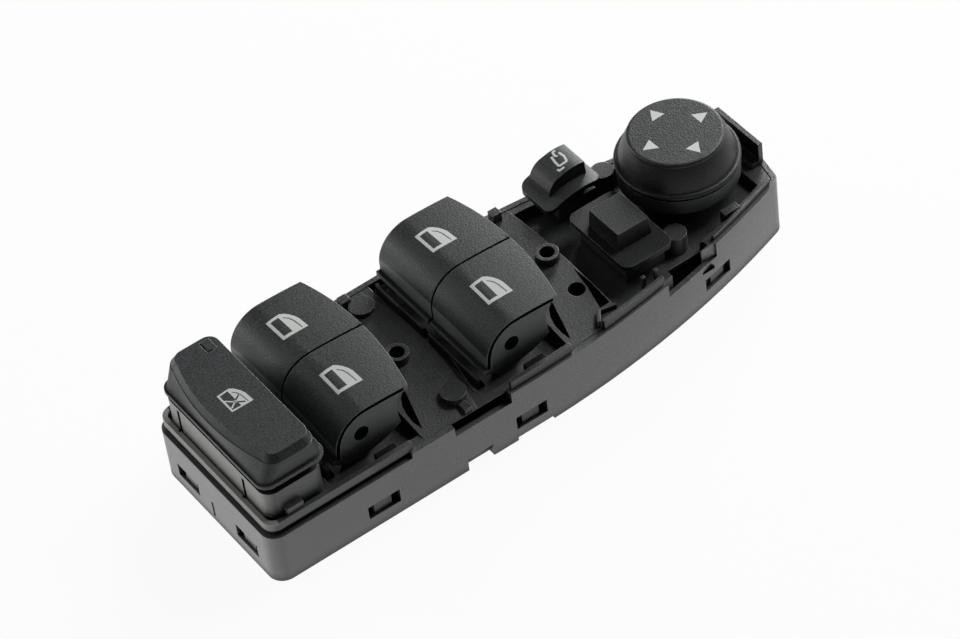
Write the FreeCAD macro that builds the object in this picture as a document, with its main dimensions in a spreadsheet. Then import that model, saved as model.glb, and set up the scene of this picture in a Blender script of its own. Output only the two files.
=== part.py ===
import FreeCAD, Part
import math
import os
import Sketcher

# Driver's door switch pack: four window rockers, a child-lock button and the mirror controls.
# X runs along the door towards the front of the car, Y across it, Z up. Lengths are millimetres.
# The origin lies under the middle of the pack, on the surface that it rests on.

doc = FreeCAD.newDocument("window_switch")
V = FreeCAD.Vector

# Driving dimensions, one named cell each
SIZES = {
    # Housings
    "pack_length": 198.0,
    "pack_depth": 65.0,
    "base_height": 20.0,
    "low_rim_height": 18.3,
    "low_rim_end_x": -50.0,
    "wall": 1.8,
    "base_floor": 1.8,
    "corner_radius": 5.0,
    "front_bend_x": -7.0,
    "front_bend_radius": 325.0,
    "back_bend_x": -15.0,
    "back_bend_radius": 448.0,
    "back_left_y": 26.5,
    "end_slant": 1.8,
    "end_slant_y": -6.0,
    "shell_clearance": 0.2,
    "skirt_wall": 1.6,
    "skirt_bottom": 12.0,
    "deck_top": 19.8,
    "deck_plate": 2.0,
    "deck_crown": 2.4,
    "well_floor": 17.2,
    "well_plate": 1.6,
    "mirror_floor": 16.4,
    "mirror_rim": 2.4,
    "mirror_start": 17.3,
    "mirror_end_gap": 8.0,
    "rim_bottom": 20.3,
    "rim_top": 23.2,
    "rim_inset": 1.0,
    "rim_wall": 1.5,
    # Snap windows and hooks
    "window_height": 4.8,
    "window_bottom": 4.6,
    "window_width": 11.0,
    "hook_clearance": 0.3,
    # Window rockers
    "rocker_offset": 36.2,
    "pair_pitch": 52.8,
    "pivot_height": 28.0,
    "seam_y": 3.45,
    "rocker_width": 26.6,
    "rocker_gap": 0.8,
    "rocker_rise": 9.45,
    "rocker_reach": 16.8,
    "nose_radius": 11.2,
    "nose_x": 1.8,
    "foot_drop": 5.6,
    "top_bow_radius": 164.0,
    "rocker_crown": 1.4,
    "lip_bulge": 3.3,
    "rocker_skin": 1.8,
    "cheek_wall": 2.6,
    "cheek_inset": 0.6,
    "pivot_bore_radius": 2.5,
    "pivot_clearance": 0.06,
    "pivot_engagement": 1.1,
    "ear_wall": 1.8,
    "ear_gap": 0.35,
    "ear_radius": 4.4,
    # Plungers
    "push_offset": 9.0,
    "pull_offset": 4.5,
    "plunger_radius": 1.8,
    "plunger_head": 27.0,
    "plunger_foot": 13.4,
    "plunger_flange": 0.8,
    "plunger_flange_radius": 2.8,
    "sleeve_clearance": 0.08,
    "sleeve_wall": 1.2,
    "sleeve_top": 22.0,
    "actuator_gap": 0.4,
    # Circuit board, contact mat and connector
    "board_bottom": 9.0,
    "board_thickness": 1.6,
    "board_clearance": 0.8,
    "mat_thickness": 0.8,
    "dome_height": 0.7,
    "dome_radius": 3.2,
    "post_radius": 3.0,
    "socket_x": 45.0,
    "socket_y": -2.0,
    "socket_length": 30.0,
    "socket_width": 17.0,
    "socket_wall": 1.6,
    "header_height": 2.0,
    "pin_size": 0.7,
    "pin_pitch": 4.4,
    "pin_row_gap": 6.4,
    "pin_tip": 5.2,
    # Child-lock button
    "lock_end_gap": 3.0,
    "lock_length": 19.8,
    "lock_front": -29.0,
    "lock_back": 24.2,
    "lock_collar_top": 32.2,
    "lock_wall": 1.8,
    "lock_corner": 4.0,
    "lock_lip_gap": 0.6,
    "lock_lip_band": 1.1,
    "lock_waist": 0.8,
    "lock_crease_height": 42.0,
    "lock_top": 44.4,
    "lock_bulge": 3.3,
    "lock_top_bevel": 1.5,
    "lock_skirt_bottom": 26.0,
    "lock_skirt_gap": 0.4,
    "lock_shell": 1.6,
    "lock_travel": 2.0,
    # Mirror joystick knob
    "knob_end_gap": 24.1,
    "knob_y": 4.5,
    "knob_top": 40.0,
    "knob_top_radius": 14.75,
    "knob_flange_radius": 19.1,
    "knob_flange_bottom": 29.6,
    "knob_flange_height": 1.5,
    "knob_skirt_radius": 18.9,
    "knob_skirt_bottom": 23.4,
    "knob_wall": 2.0,
    "stem_radius": 3.2,
    "gimbal_height": 17.6,
    "gimbal_inner": 4.6,
    "gimbal_outer": 6.8,
    "gimbal_thickness": 4.0,
    "trunnion_radius": 1.1,
    "trunnion_clearance": 0.05,
    "yoke_gap": 0.4,
    "yoke_wall": 2.4,
    # Mirror selector slider and fold button
    "button_offset": 29.3,
    "plate_length": 18.0,
    "plate_thickness": 1.7,
    "slider_y": -5.3,
    "slider_plate_depth": 29.4,
    "slider_plate_top": 26.0,
    "slider_block_length": 11.2,
    "slider_block_depth": 14.0,
    "slider_block_top": 32.4,
    "slider_travel": 2.5,
    "fold_y": 22.4,
    "fold_plate_depth": 15.9,
    "fold_plate_shift": 1.4,
    "fold_plate_rise": 28.0,
    "fold_bow_radius": 26.0,
    "fold_block_length": 11.2,
    "fold_block_depth": 10.0,
    "fold_block_top": 32.8,
    "fold_travel": 1.8,
    "tower_wall": 1.5,
    "boss_top": 23.0,
    "ring_boss_top": 25.0,
    "locating_hole_radius": 2.65,
    "tower_top": 22.6,
    "tower_length": 14.0,
    "slider_tower_depth": 23.0,
    "fold_tower_y": 20.8,
    "fold_tower_depth": 8.8,
    "stalk_gap": 0.4,
}


class Size:
    """A length that knows its value and the spreadsheet formula it comes from."""

    def __init__(self, text, value):
        self.text = text
        self.value = value

    def __float__(self):
        return float(self.value)

    def __add__(self, other):
        return join(self, "+", other, float(self) + float(other))

    def __radd__(self, other):
        return join(other, "+", self, float(other) + float(self))

    def __sub__(self, other):
        return join(self, "-", other, float(self) - float(other))

    def __rsub__(self, other):
        return join(other, "-", self, float(other) - float(self))

    def __mul__(self, other):
        return join(self, "*", other, float(self) * float(other))

    def __rmul__(self, other):
        return join(other, "*", self, float(other) * float(self))

    def __truediv__(self, other):
        return join(self, "/", other, float(self) / float(other))

    def __neg__(self):
        return join(0, "-", self, -float(self))


def words(item):
    return item.text if isinstance(item, Size) else repr(float(item))


def join(left, sign, right, value):
    return Size("(" + words(left) + " " + sign + " " + words(right) + ")", value)


sheet = doc.addObject("Spreadsheet::Sheet", "Sizes")
for row, (name, value) in enumerate(SIZES.items(), start=1):
    sheet.set("A" + str(row), name)
    sheet.set("B" + str(row), str(value))
    sheet.setAlias("B" + str(row), name)
doc.recompute()


def size(name):
    return Size("Sizes." + name, float(sheet.get(name)))


def num(value):
    return Size(repr(float(value)), float(value))


def bind(item, prop, amount):
    if isinstance(amount, Size):
        item.setExpression(prop, amount.text)
    else:
        item.setExpression(prop, repr(float(amount)))


# Solids from primitives, bodies and booleans

def block(name, x, y, z):
    """A box between two values along each axis."""
    item = doc.addObject("Part::Box", name)
    bind(item, "Length", x[1] - x[0])
    bind(item, "Width", y[1] - y[0])
    bind(item, "Height", z[1] - z[0])
    bind(item, "Placement.Base.x", x[0])
    bind(item, "Placement.Base.y", y[0])
    bind(item, "Placement.Base.z", z[0])
    return item


TURNS = {
    "z": FreeCAD.Rotation(),
    "x": FreeCAD.Rotation(V(0, 1, 0), 90),
    "y": FreeCAD.Rotation(V(1, 0, 0), -90),
}


def rod(name, axis, start, length, radius):
    """A cylinder from a start point along +X, +Y or +Z."""
    item = doc.addObject("Part::Cylinder", name)
    item.Placement = FreeCAD.Placement(V(0, 0, 0), TURNS[axis])
    bind(item, "Radius", radius)
    bind(item, "Height", length)
    bind(item, "Placement.Base.x", start[0])
    bind(item, "Placement.Base.y", start[1])
    bind(item, "Placement.Base.z", start[2])
    return item


def fuse(name, items):
    item = doc.addObject("Part::MultiFuse", name)
    item.Shapes = items
    item.Refine = True
    return item


def cut(name, base, tools):
    item = doc.addObject("Part::Cut", name)
    item.Base = base
    item.Tool = tools[0] if len(tools) == 1 else fuse(name + "_tools", tools)
    item.Refine = True
    return item


def common(name, first, second):
    item = doc.addObject("Part::Common", name)
    item.Base = first
    item.Tool = second
    return item


def body(name):
    return doc.addObject("PartDesign::Body", name)


def plane(item, role):
    return [f for f in item.Origin.OriginFeatures if f.Role == role][0]


def sketch(item, role, offset=0, rise=0):
    """A sketch on a body's XY, XZ or YZ plane, moved along the normal, and up by rise."""
    made = item.newObject("Sketcher::SketchObject", item.Name + "_sketch")
    made.AttachmentSupport = [(plane(item, role + "_Plane"), "")]
    made.MapMode = "FlatFace"
    sign = -1 if role == "XZ" else 1
    bind(made, "AttachmentOffset.Base.z", offset * sign)
    bind(made, "AttachmentOffset.Base.y", rise)
    return made


def rectangle(item, x, y):
    """A rectangle whose four sides are held by named sizes."""
    corners = [(x[0], y[0]), (x[1], y[0]), (x[1], y[1]), (x[0], y[1])]
    points = [V(float(a), float(b), 0) for a, b in corners]
    sides = [Part.LineSegment(points[i], points[(i + 1) % 4]) for i in range(4)]
    first = item.addGeometry(sides, False)[0]
    for i in range(4):
        item.addConstraint(Sketcher.Constraint("Coincident", first + i, 2, first + (i + 1) % 4, 1))
    for i in (0, 2):
        item.addConstraint(Sketcher.Constraint("Horizontal", first + i))
        item.addConstraint(Sketcher.Constraint("Vertical", first + i + 1))
    for kind, corner, amount in (("DistanceX", 0, x[0]), ("DistanceX", 2, x[1]),
                                 ("DistanceY", 0, y[0]), ("DistanceY", 2, y[1])):
        fixed = Sketcher.Constraint(kind, -1, 1, first + corner, 1, float(amount))
        index = item.addConstraint(fixed)
        bind(item, "Constraints[" + str(index) + "]", amount)


def rounded(item, x, y, radius, bulge=0):
    """A rectangle with round corners, whose left side may bow outwards."""
    x0, x1, y0, y1, r = float(x[0]), float(x[1]), float(y[0]), float(y[1]), float(radius)
    c = r - r / math.sqrt(2)
    left_side = (x0, y0 + r)
    if bulge != 0:
        left_side = [(x0 - float(bulge), (y0 + y1) / 2), (x0, y0 + r)]
    draw(item, chain([
        (x0 + r, y0), (x1 - r, y0), [(x1 - c, y0 + c), (x1, y0 + r)],
        (x1, y1 - r), [(x1 - c, y1 - c), (x1 - r, y1)],
        (x0 + r, y1), [(x0 + c, y1 - c), (x0, y1 - r)],
        left_side, [(x0 + c, y0 + c), (x0 + r, y0)],
    ]))


def circle(item, x, y, radius):
    """A circle whose centre and radius are held by named sizes."""
    first = item.addGeometry(Part.Circle(V(float(x), float(y), 0), V(0, 0, 1), float(radius)), False)
    for kind, amount in (("DistanceX", x), ("DistanceY", y)):
        index = item.addConstraint(Sketcher.Constraint(kind, -1, 1, first, 3, float(amount)))
        bind(item, "Constraints[" + str(index) + "]", amount)
    index = item.addConstraint(Sketcher.Constraint("Radius", first, float(radius)))
    bind(item, "Constraints[" + str(index) + "]", radius)


def draw(item, edges):
    """Put a chain of straight and round edges into a sketch."""
    for edge in edges:
        first, last = edge.ParameterRange
        ends = [edge.valueAt(first), edge.valueAt((first + last) / 2), edge.valueAt(last)]
        if isinstance(edge.Curve, Part.Line):
            item.addGeometry(Part.LineSegment(ends[0], ends[2]), False)
        else:
            item.addGeometry(Part.Arc(*ends), False)


def point(pair):
    return V(float(pair[0]), float(pair[1]), 0)


def chain(steps):
    """Edges through points; a step of two points is an arc through the first to the second."""
    edges = []
    here = point(steps[0])
    for step in steps[1:]:
        if isinstance(step, list):
            edges.append(Part.Arc(here, point(step[0]), point(step[1])).toShape())
            here = point(step[1])
        else:
            edges.append(Part.LineSegment(here, point(step)).toShape())
            here = point(step)
    return edges


def pad(item, profile, length, back=False, middle=False):
    made = item.newObject("PartDesign::Pad", item.Name + "_pad")
    made.Profile = profile
    made.Reversed = back
    made.Midplane = middle
    bind(made, "Length", length)
    profile.Visibility = False
    item.Tip = made
    return made


def pocket(item, profile, length=None, back=False):
    made = item.newObject("PartDesign::Pocket", item.Name + "_pocket")
    made.Profile = profile
    made.Reversed = back
    if length is None:
        made.Type = "ThroughAll"
        made.Midplane = True
    else:
        bind(made, "Length", length)
    item.Tip = made
    return made


def turned(name, outline, x, y, axis_turn=None):
    """A revolved body: outline points are radius and height, and the axis stands at x, y."""
    item = body(name)
    profile = sketch(item, "XZ")
    draw(profile, chain(outline + [outline[0]]))
    made = item.newObject("PartDesign::Revolution", name + "_turn")
    made.Profile = profile
    made.ReferenceAxis = (profile, ["V_Axis"])
    made.Angle = 360
    item.Tip = made
    bind(item, "Placement.Base.x", x)
    bind(item, "Placement.Base.y", y)
    return item


# Shared places
half_length = size("pack_length") / 2
half_depth = size("pack_depth") / 2
left = -half_length
front = -half_depth
back = half_depth
deck_top = size("deck_top")
pivot_z = size("pivot_height")
lock_left = left + size("lock_end_gap")
lock_right = lock_left + size("lock_length")
rear_pivot_x = lock_left + size("rocker_offset")
knob_x = half_length - size("knob_end_gap")
button_x = knob_x - size("button_offset")
mirror_x = button_x - size("mirror_start")
mirror_base = size("mirror_floor") - size("well_plate")
PIVOTS = {"rear": rear_pivot_x, "front": rear_pivot_x + size("pair_pitch")}
seam = size("seam_y")
inner = size("wall") + size("shell_clearance")


def bend(start_x, edge_y, radius, side, x):
    """The y of a long bend that leaves a straight edge at start_x."""
    run = float(x) - float(start_x)
    return float(edge_y) + side * (float(radius) - math.sqrt(float(radius) ** 2 - run ** 2))


def sharp_outline():
    """The pack's plan before its corners are rounded."""
    front_x, front_r = size("front_bend_x"), size("front_bend_radius")
    back_x, back_r = size("back_bend_x"), size("back_bend_radius")
    end_x = half_length - size("end_slant")
    front_mid = (front_x + end_x) / 2
    back_mid = (back_x + half_length) / 2

    def front_y(x):
        return bend(front_x, front, front_r, 1, x)

    def back_y(x):
        return bend(back_x, back, back_r, -1, x)

    return Part.Wire(chain([
        (left, front),
        (front_x, front),
        [(front_mid, front_y(front_mid)), (end_x, front_y(end_x))],
        (half_length, size("end_slant_y")),
        (half_length, back_y(half_length)),
        [(back_mid, back_y(back_mid)), (back_x, back)],
        (lock_right + 0.2, back - 0.7),
        (left, size("back_left_y")),
        (left, front),
    ]))


core = sharp_outline().makeOffset2D(-float(size("corner_radius")), 2)


def outline(inset):
    """The rounded plan, drawn inwards by an inset."""
    return core.makeOffset2D(float(size("corner_radius")) - float(inset), 0).Edges


def slab(name, inset, bottom, top, hollow=None):
    """A plate or ring that follows the plan."""
    item = body(name)
    profile = sketch(item, "XY", bottom)
    draw(profile, outline(inset))
    if hollow is not None:
        draw(profile, outline(hollow))
    pad(item, profile, top - bottom)
    return item


finished = {}


def finish(node, item):
    item.Label = node
    finished[node] = item


# Snap windows: centre along the wall, and which wall
FRONT_WINDOWS = [PIVOTS["rear"] - 1.6, PIVOTS["front"] - 2.0]
BEND_WINDOW = knob_x - 8.8
END_WINDOWS = [size("seam_y") + 9.2, size("seam_y") - 21.3]


def window_span(centre, reach=0.0):
    half = size("window_width") / 2
    return (centre - half + reach, centre + half - reach)


window_z = (size("window_bottom"), size("window_bottom") + size("window_height"))


def bend_front(x):
    return bend(size("front_bend_x"), front, size("front_bend_radius"), 1, x)


def lower_housing():
    shell = slab("base_shell", 0, num(0.0), size("base_height"))
    hollow = sketch(shell, "XY", size("base_floor"))
    draw(hollow, outline(size("wall")))
    pocket(shell, hollow, size("base_height"), back=True)

    # Connector shroud and board posts stand on the floor
    half_x = size("socket_length") / 2 + size("socket_wall")
    half_y = size("socket_width") / 2 + size("socket_wall")
    sx, sy = size("socket_x"), size("socket_y")
    solids = [shell, block("socket_shroud", (sx - half_x, sx + half_x), (sy - half_y, sy + half_y),
                           (num(0.0), size("board_bottom")))]
    for i, (x, y) in enumerate(BOARD_POSTS):
        solids.append(rod("base_post" + str(i), "z", (x, y, num(0.0)), size("board_bottom"),
                          size("post_radius")))
    whole = fuse("base_solid", solids)

    # Windows for the hooks, rim steps, the socket and the finger notches in the rim
    tools = []
    for i, x in enumerate(FRONT_WINDOWS):
        tools.append(block("front_window" + str(i), window_span(x), (front - 1, front + inner), window_z))
    y = bend_front(BEND_WINDOW)
    tools.append(block("bend_window", window_span(BEND_WINDOW), (num(y - 3), num(y + 3.2)),
                       window_z))
    for i, y in enumerate(END_WINDOWS):
        tools.append(block("end_window" + str(i), (left - 1, left + inner), window_span(y), window_z))
    tools.append(block("end_slit", (left - 1, left + 1.0), (seam - 3.9, seam - 2.9), (num(2.0), num(8.0))))
    sx0, sy0 = size("socket_length") / 2, size("socket_width") / 2
    tools.append(block("socket_hole", (sx - sx0, sx + sx0), (sy - sy0, sy + sy0),
                       (num(-1.0), size("board_bottom") + 1)))
    low = (size("low_rim_height"), size("base_height") + 1)
    reach = size("wall") + 0.1
    tools.append(block("low_rim_front", (left - 1, size("low_rim_end_x")), (front - 1, front + 8), low))
    tools.append(block("low_rim_left", (left - 1, left + 12), (front - 1, back + 1), low))
    for i, (x0, x1, depth) in enumerate(RIM_NOTCHES):
        y = bend_front((x0 + x1) / 2)
        tools.append(block("rim_notch" + str(i), (x0, x1), (num(y - 3), num(y) + reach + 1),
                           (size("base_height") - depth, size("base_height") + 1)))
    for i, (x0, x1, height) in enumerate(EDGE_STEPS):
        y = bend_front((x0 + x1) / 2)
        tools.append(block("edge_step" + str(i), (x0, x1), (num(y - 3), num(y) + reach),
                           (num(-1.0), height)))
    finish("lower_housing", cut("base_cut", whole, tools))


BOARD_POSTS = [(left + 12, seam - 18), (left + 12, seam + 14), (PIVOTS["front"] - 20, seam - 20),
               (PIVOTS["front"] - 20, seam + 20), (half_length - 12, seam - 6), (half_length - 12, seam + 10)]
RIM_NOTCHES = [(PIVOTS["rear"] + 24.7, PIVOTS["rear"] + 44.7, num(3.5)),
               (PIVOTS["front"] + 52.3, PIVOTS["front"] + 73.2, num(5.0))]
EDGE_STEPS = [(PIVOTS["rear"] - 7.3, PIVOTS["rear"] + 4.2, num(1.2)),
              (PIVOTS["rear"] + 27.5, PIVOTS["rear"] + 36.5, num(4.6)),
              (PIVOTS["front"] - 7.5, PIVOTS["front"] + 5.5, num(1.2))]


def rocker_profile(grow, rise):
    """The rocker's side outline in pivot coordinates, grown outwards by an amount."""
    nose_r = float(size("nose_radius")) + grow
    nose = (float(size("nose_x")), float(size("rocker_rise")) - float(size("nose_radius")))
    bow = float(size("top_bow_radius")) + grow
    bow_centre = float(size("rocker_rise")) - float(size("top_bow_radius"))
    reach = float(size("rocker_reach")) + float(size("lip_bulge")) + 2
    run = reach - nose[0]

    def top(dx):
        return bow_centre + math.sqrt(bow ** 2 - dx ** 2)

    slope = math.radians(135)
    return {
        "foot": (nose[0] - nose_r, -float(size("foot_drop")) + rise),
        "side": (nose[0] - nose_r, nose[1] + rise),
        "shoulder": (nose[0] + nose_r * math.cos(slope), nose[1] + nose_r * math.sin(slope) + rise),
        "brow": (nose[0], nose[1] + nose_r + rise),
        "middle": (nose[0] + run / 2, top(run / 2) + rise),
        "lip": (reach, top(run) + rise),
    }


def rocker_span(hand):
    """The y range of one rocker of a pair."""
    gap = size("rocker_gap") / 2
    if hand == "right":
        return (seam - gap - size("rocker_width"), seam - gap)
    return (seam + gap, seam + gap + size("rocker_width"))


def cheek_faces(hand):
    """Outer and inner cheek of a rocker: the y range of each, with the side that faces out."""
    low, high = rocker_span(hand)
    wall, inset = size("cheek_wall"), size("cheek_inset")
    return [(low + inset, low + inset + wall, 1), (high - inset - wall, high - inset, -1)]


def rocker(name, pivot_x, hand):
    skin = body(name + "_skin")
    crown = size("rocker_crown")
    half_span = size("rocker_width") + size("rocker_gap") / 2
    crown_radius = float(half_span) ** 2 / (2 * float(crown))
    top_z = float(pivot_z) + float(size("rocker_rise")) + float(crown)
    axis_z = top_z - crown_radius

    # The skin turns about a far axis below it, which crowns it from side to side
    profile = sketch(skin, "XZ", seam, num(axis_z))
    rise = float(pivot_z) + float(crown) - axis_z
    outer = rocker_profile(0.0, rise)
    under = rocker_profile(-float(size("rocker_skin")), rise)
    px = float(pivot_x)
    steps = [outer["foot"], outer["side"], [outer["shoulder"], outer["brow"]],
             [outer["middle"], outer["lip"]], under["lip"], [under["middle"], under["brow"]],
             [under["shoulder"], under["side"]], under["foot"], outer["foot"]]
    moved = []
    for step in steps:
        if isinstance(step, list):
            moved.append([(px + p[0], p[1]) for p in step])
        else:
            moved.append((px + step[0], step[1]))
    draw(profile, chain(moved))
    turn = skin.newObject("PartDesign::Revolution", name + "_crown")
    turn.Profile = profile
    turn.ReferenceAxis = (profile, ["H_Axis"])
    turn.Angle = 2 * math.degrees(math.asin((float(half_span) + 2) / crown_radius))
    turn.Midplane = True
    skin.Tip = turn

    # The plan keeps one rocker of the pair and bows the lip
    low, high = rocker_span(hand)
    bow = float(size("lip_bulge"))
    reach = px + float(size("rocker_reach"))
    bow_radius = (float(half_span) ** 2 + bow ** 2) / (2 * bow)
    centre = reach + bow - bow_radius

    def lip_x(y):
        return centre + math.sqrt(bow_radius ** 2 - (float(y) - float(seam)) ** 2)

    middle = (float(low) + float(high)) / 2
    keep = chain([(px - 30, low), (lip_x(low), low), [(lip_x(middle), middle), (lip_x(high), high)],
                  (px - 30, high), (px - 30, low)])
    trim = sketch(skin, "XY")
    draw(trim, keep)
    rectangle(trim, (pivot_x - 40, pivot_x + 40), (seam - 60, seam + 60))
    pocket(skin, trim)
    solids = [skin]

    # Cheeks carry the pivot bores
    bottom = float(pivot_z)
    for i, (y0, y1, side) in enumerate(cheek_faces(hand)):
        cheek = body(name + "_cheek" + str(i))
        side_view = sketch(cheek, "XZ", y0)
        inside = rocker_profile(-float(size("rocker_skin")) / 2, bottom + float(crown) * 0.3)
        rear = px + float(size("rocker_reach"))
        foot_z = bottom - float(size("foot_drop"))
        draw(side_view, chain([
            (px + inside["side"][0] - 0.9, foot_z - 1.0),
            (px - 6.5, bottom - 8.5),
            [(px + 4.0, bottom - 8.2), (rear - 3.5, bottom - 4.4)],
            [(rear - 4.2, bottom + 1.2), (rear - 1.8, bottom + 8.1)],
            (px + inside["brow"][0], inside["brow"][1]),
            [(px + inside["shoulder"][0], inside["shoulder"][1]),
             (px + inside["side"][0], inside["side"][1])],
            (px + inside["side"][0] - 0.9, foot_z - 1.0),
        ]))
        circle(side_view, pivot_x, pivot_z, size("pivot_bore_radius"))
        pad(cheek, side_view, y1 - y0, back=True)
        solids.append(cheek)

    # Actuators over the two plungers, and the flange along the foot
    mid_y = (low + high) / 2
    head = size("plunger_head") + size("actuator_gap")
    for tag, offset, top_at in (("push", size("push_offset"), 9.0), ("pull", -size("pull_offset"), 6.4)):
        x = pivot_x + offset
        solids.append(block(name + "_" + tag, (x - 1.6, x + 1.6), (mid_y - 2.5, mid_y + 2.5),
                            (head, pivot_z + top_at)))
    nose_x = pivot_x + size("nose_x") - size("nose_radius")
    solids.append(block(name + "_foot", (nose_x - 1.5, nose_x + size("rocker_skin") / 2),
                        (low, high), (pivot_z - size("foot_drop"), pivot_z - size("foot_drop") + 1.6)))
    finish(name, fuse(name + "_solid", solids))


def plunger_places():
    """Every window plunger: name, x and y."""
    places = []
    for pair, pivot_x in PIVOTS.items():
        for hand in ("left", "right"):
            low, high = rocker_span(hand)
            mid_y = (low + high) / 2
            places.append((pair + "_" + hand + "_push_plunger", pivot_x + size("push_offset"), mid_y))
            places.append((pair + "_" + hand + "_pull_plunger", pivot_x - size("pull_offset"), mid_y))
    return places


def plunger(name, x, y, foot, head):
    r = size("plunger_radius")
    flange = size("plunger_flange_radius")
    edge = 0.4
    outline_points = [
        (0.0, foot), (flange, foot), (flange, foot + size("plunger_flange")),
        (r, foot + size("plunger_flange")), (r, head - edge), (r - edge, head), (0.0, head),
    ]
    finish(name, turned(name + "_turned", outline_points, x, y))


def ear_solids():
    """Ears in the rocker wells, with the trunnions that the rockers turn on."""
    solids = []
    r = size("ear_radius")
    pin = size("pivot_bore_radius") - size("pivot_clearance")
    for pair, pivot_x in PIVOTS.items():
        for hand in ("left", "right"):
            for i, (y0, y1, side) in enumerate(cheek_faces(hand)):
                tag = pair + "_" + hand + str(i)
                gap, wall = size("ear_gap"), size("ear_wall")
                pin_length = size("pivot_engagement") + gap + wall
                if side > 0:
                    span = (y1 + gap, y1 + gap + wall)
                    pin_start = y1 - size("pivot_engagement")
                else:
                    span = (y0 - gap - wall, y0 - gap)
                    pin_start = y0 - gap - wall
                solids.append(rod("ear_top_" + tag, "y", (pivot_x, span[0], pivot_z), wall, r))
                solids.append(block("ear_leg_" + tag, (pivot_x - r, pivot_x + r), span,
                                    (size("well_floor") - 1, pivot_z)))
                solids.append(rod("ear_pin_" + tag, "y", (pivot_x, pin_start, pivot_z), pin_length, pin))
    return solids


def well_span(pivot_x):
    return (pivot_x - 14.4, pivot_x + 15.6), (seam - 31.0, seam + 28.2)


def valley(name, x0, x1, ridge):
    """A deck that bows up from front to back, ending in a ridge that bows along the pack."""
    item = body(name)
    crown = float(size("deck_crown"))
    top = float(deck_top)
    profile = sketch(item, "YZ", x0)
    y0, y1 = float(front) + 2.2, float(back) - 2.2
    plate = float(size("deck_plate")) - 0.2
    draw(profile, chain([(y0, top - plate), (y0, top), [(float(seam) - 1, top + crown), (y1, top)],
                         (y1, top - plate), [(float(seam) - 1, top + crown - plate), (y0, top - plate)]]))
    pad(item, profile, x1 - x0)
    if ridge:
        trim = sketch(item, "XY")
        bulge = 2.0
        tip = float(x1)
        draw(trim, chain([(float(x1) + 6, -40), (float(x1) + 6, 44), (tip - 2 * bulge, 40),
                          [(tip - 0.05, seam), (tip - 2 * bulge, -34)], (float(x1) + 6, -40)]))
        pocket(item, trim)
    return item


def guide_tower(name, y, depth):
    """A square tube that guides the stalk of a mirror button."""
    x = button_x
    half_x, half_y, wall = size("tower_length") / 2, depth / 2, size("tower_wall")
    outer = block(name, (x - half_x, x + half_x), (y - half_y, y + half_y),
                  (mirror_base, size("tower_top")))
    hole = block(name + "_bore", (x - half_x + wall, x + half_x - wall),
                 (y - half_y + wall, y + half_y - wall),
                 (size("skirt_bottom"), size("tower_top") + 1))
    return outer, hole


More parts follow.
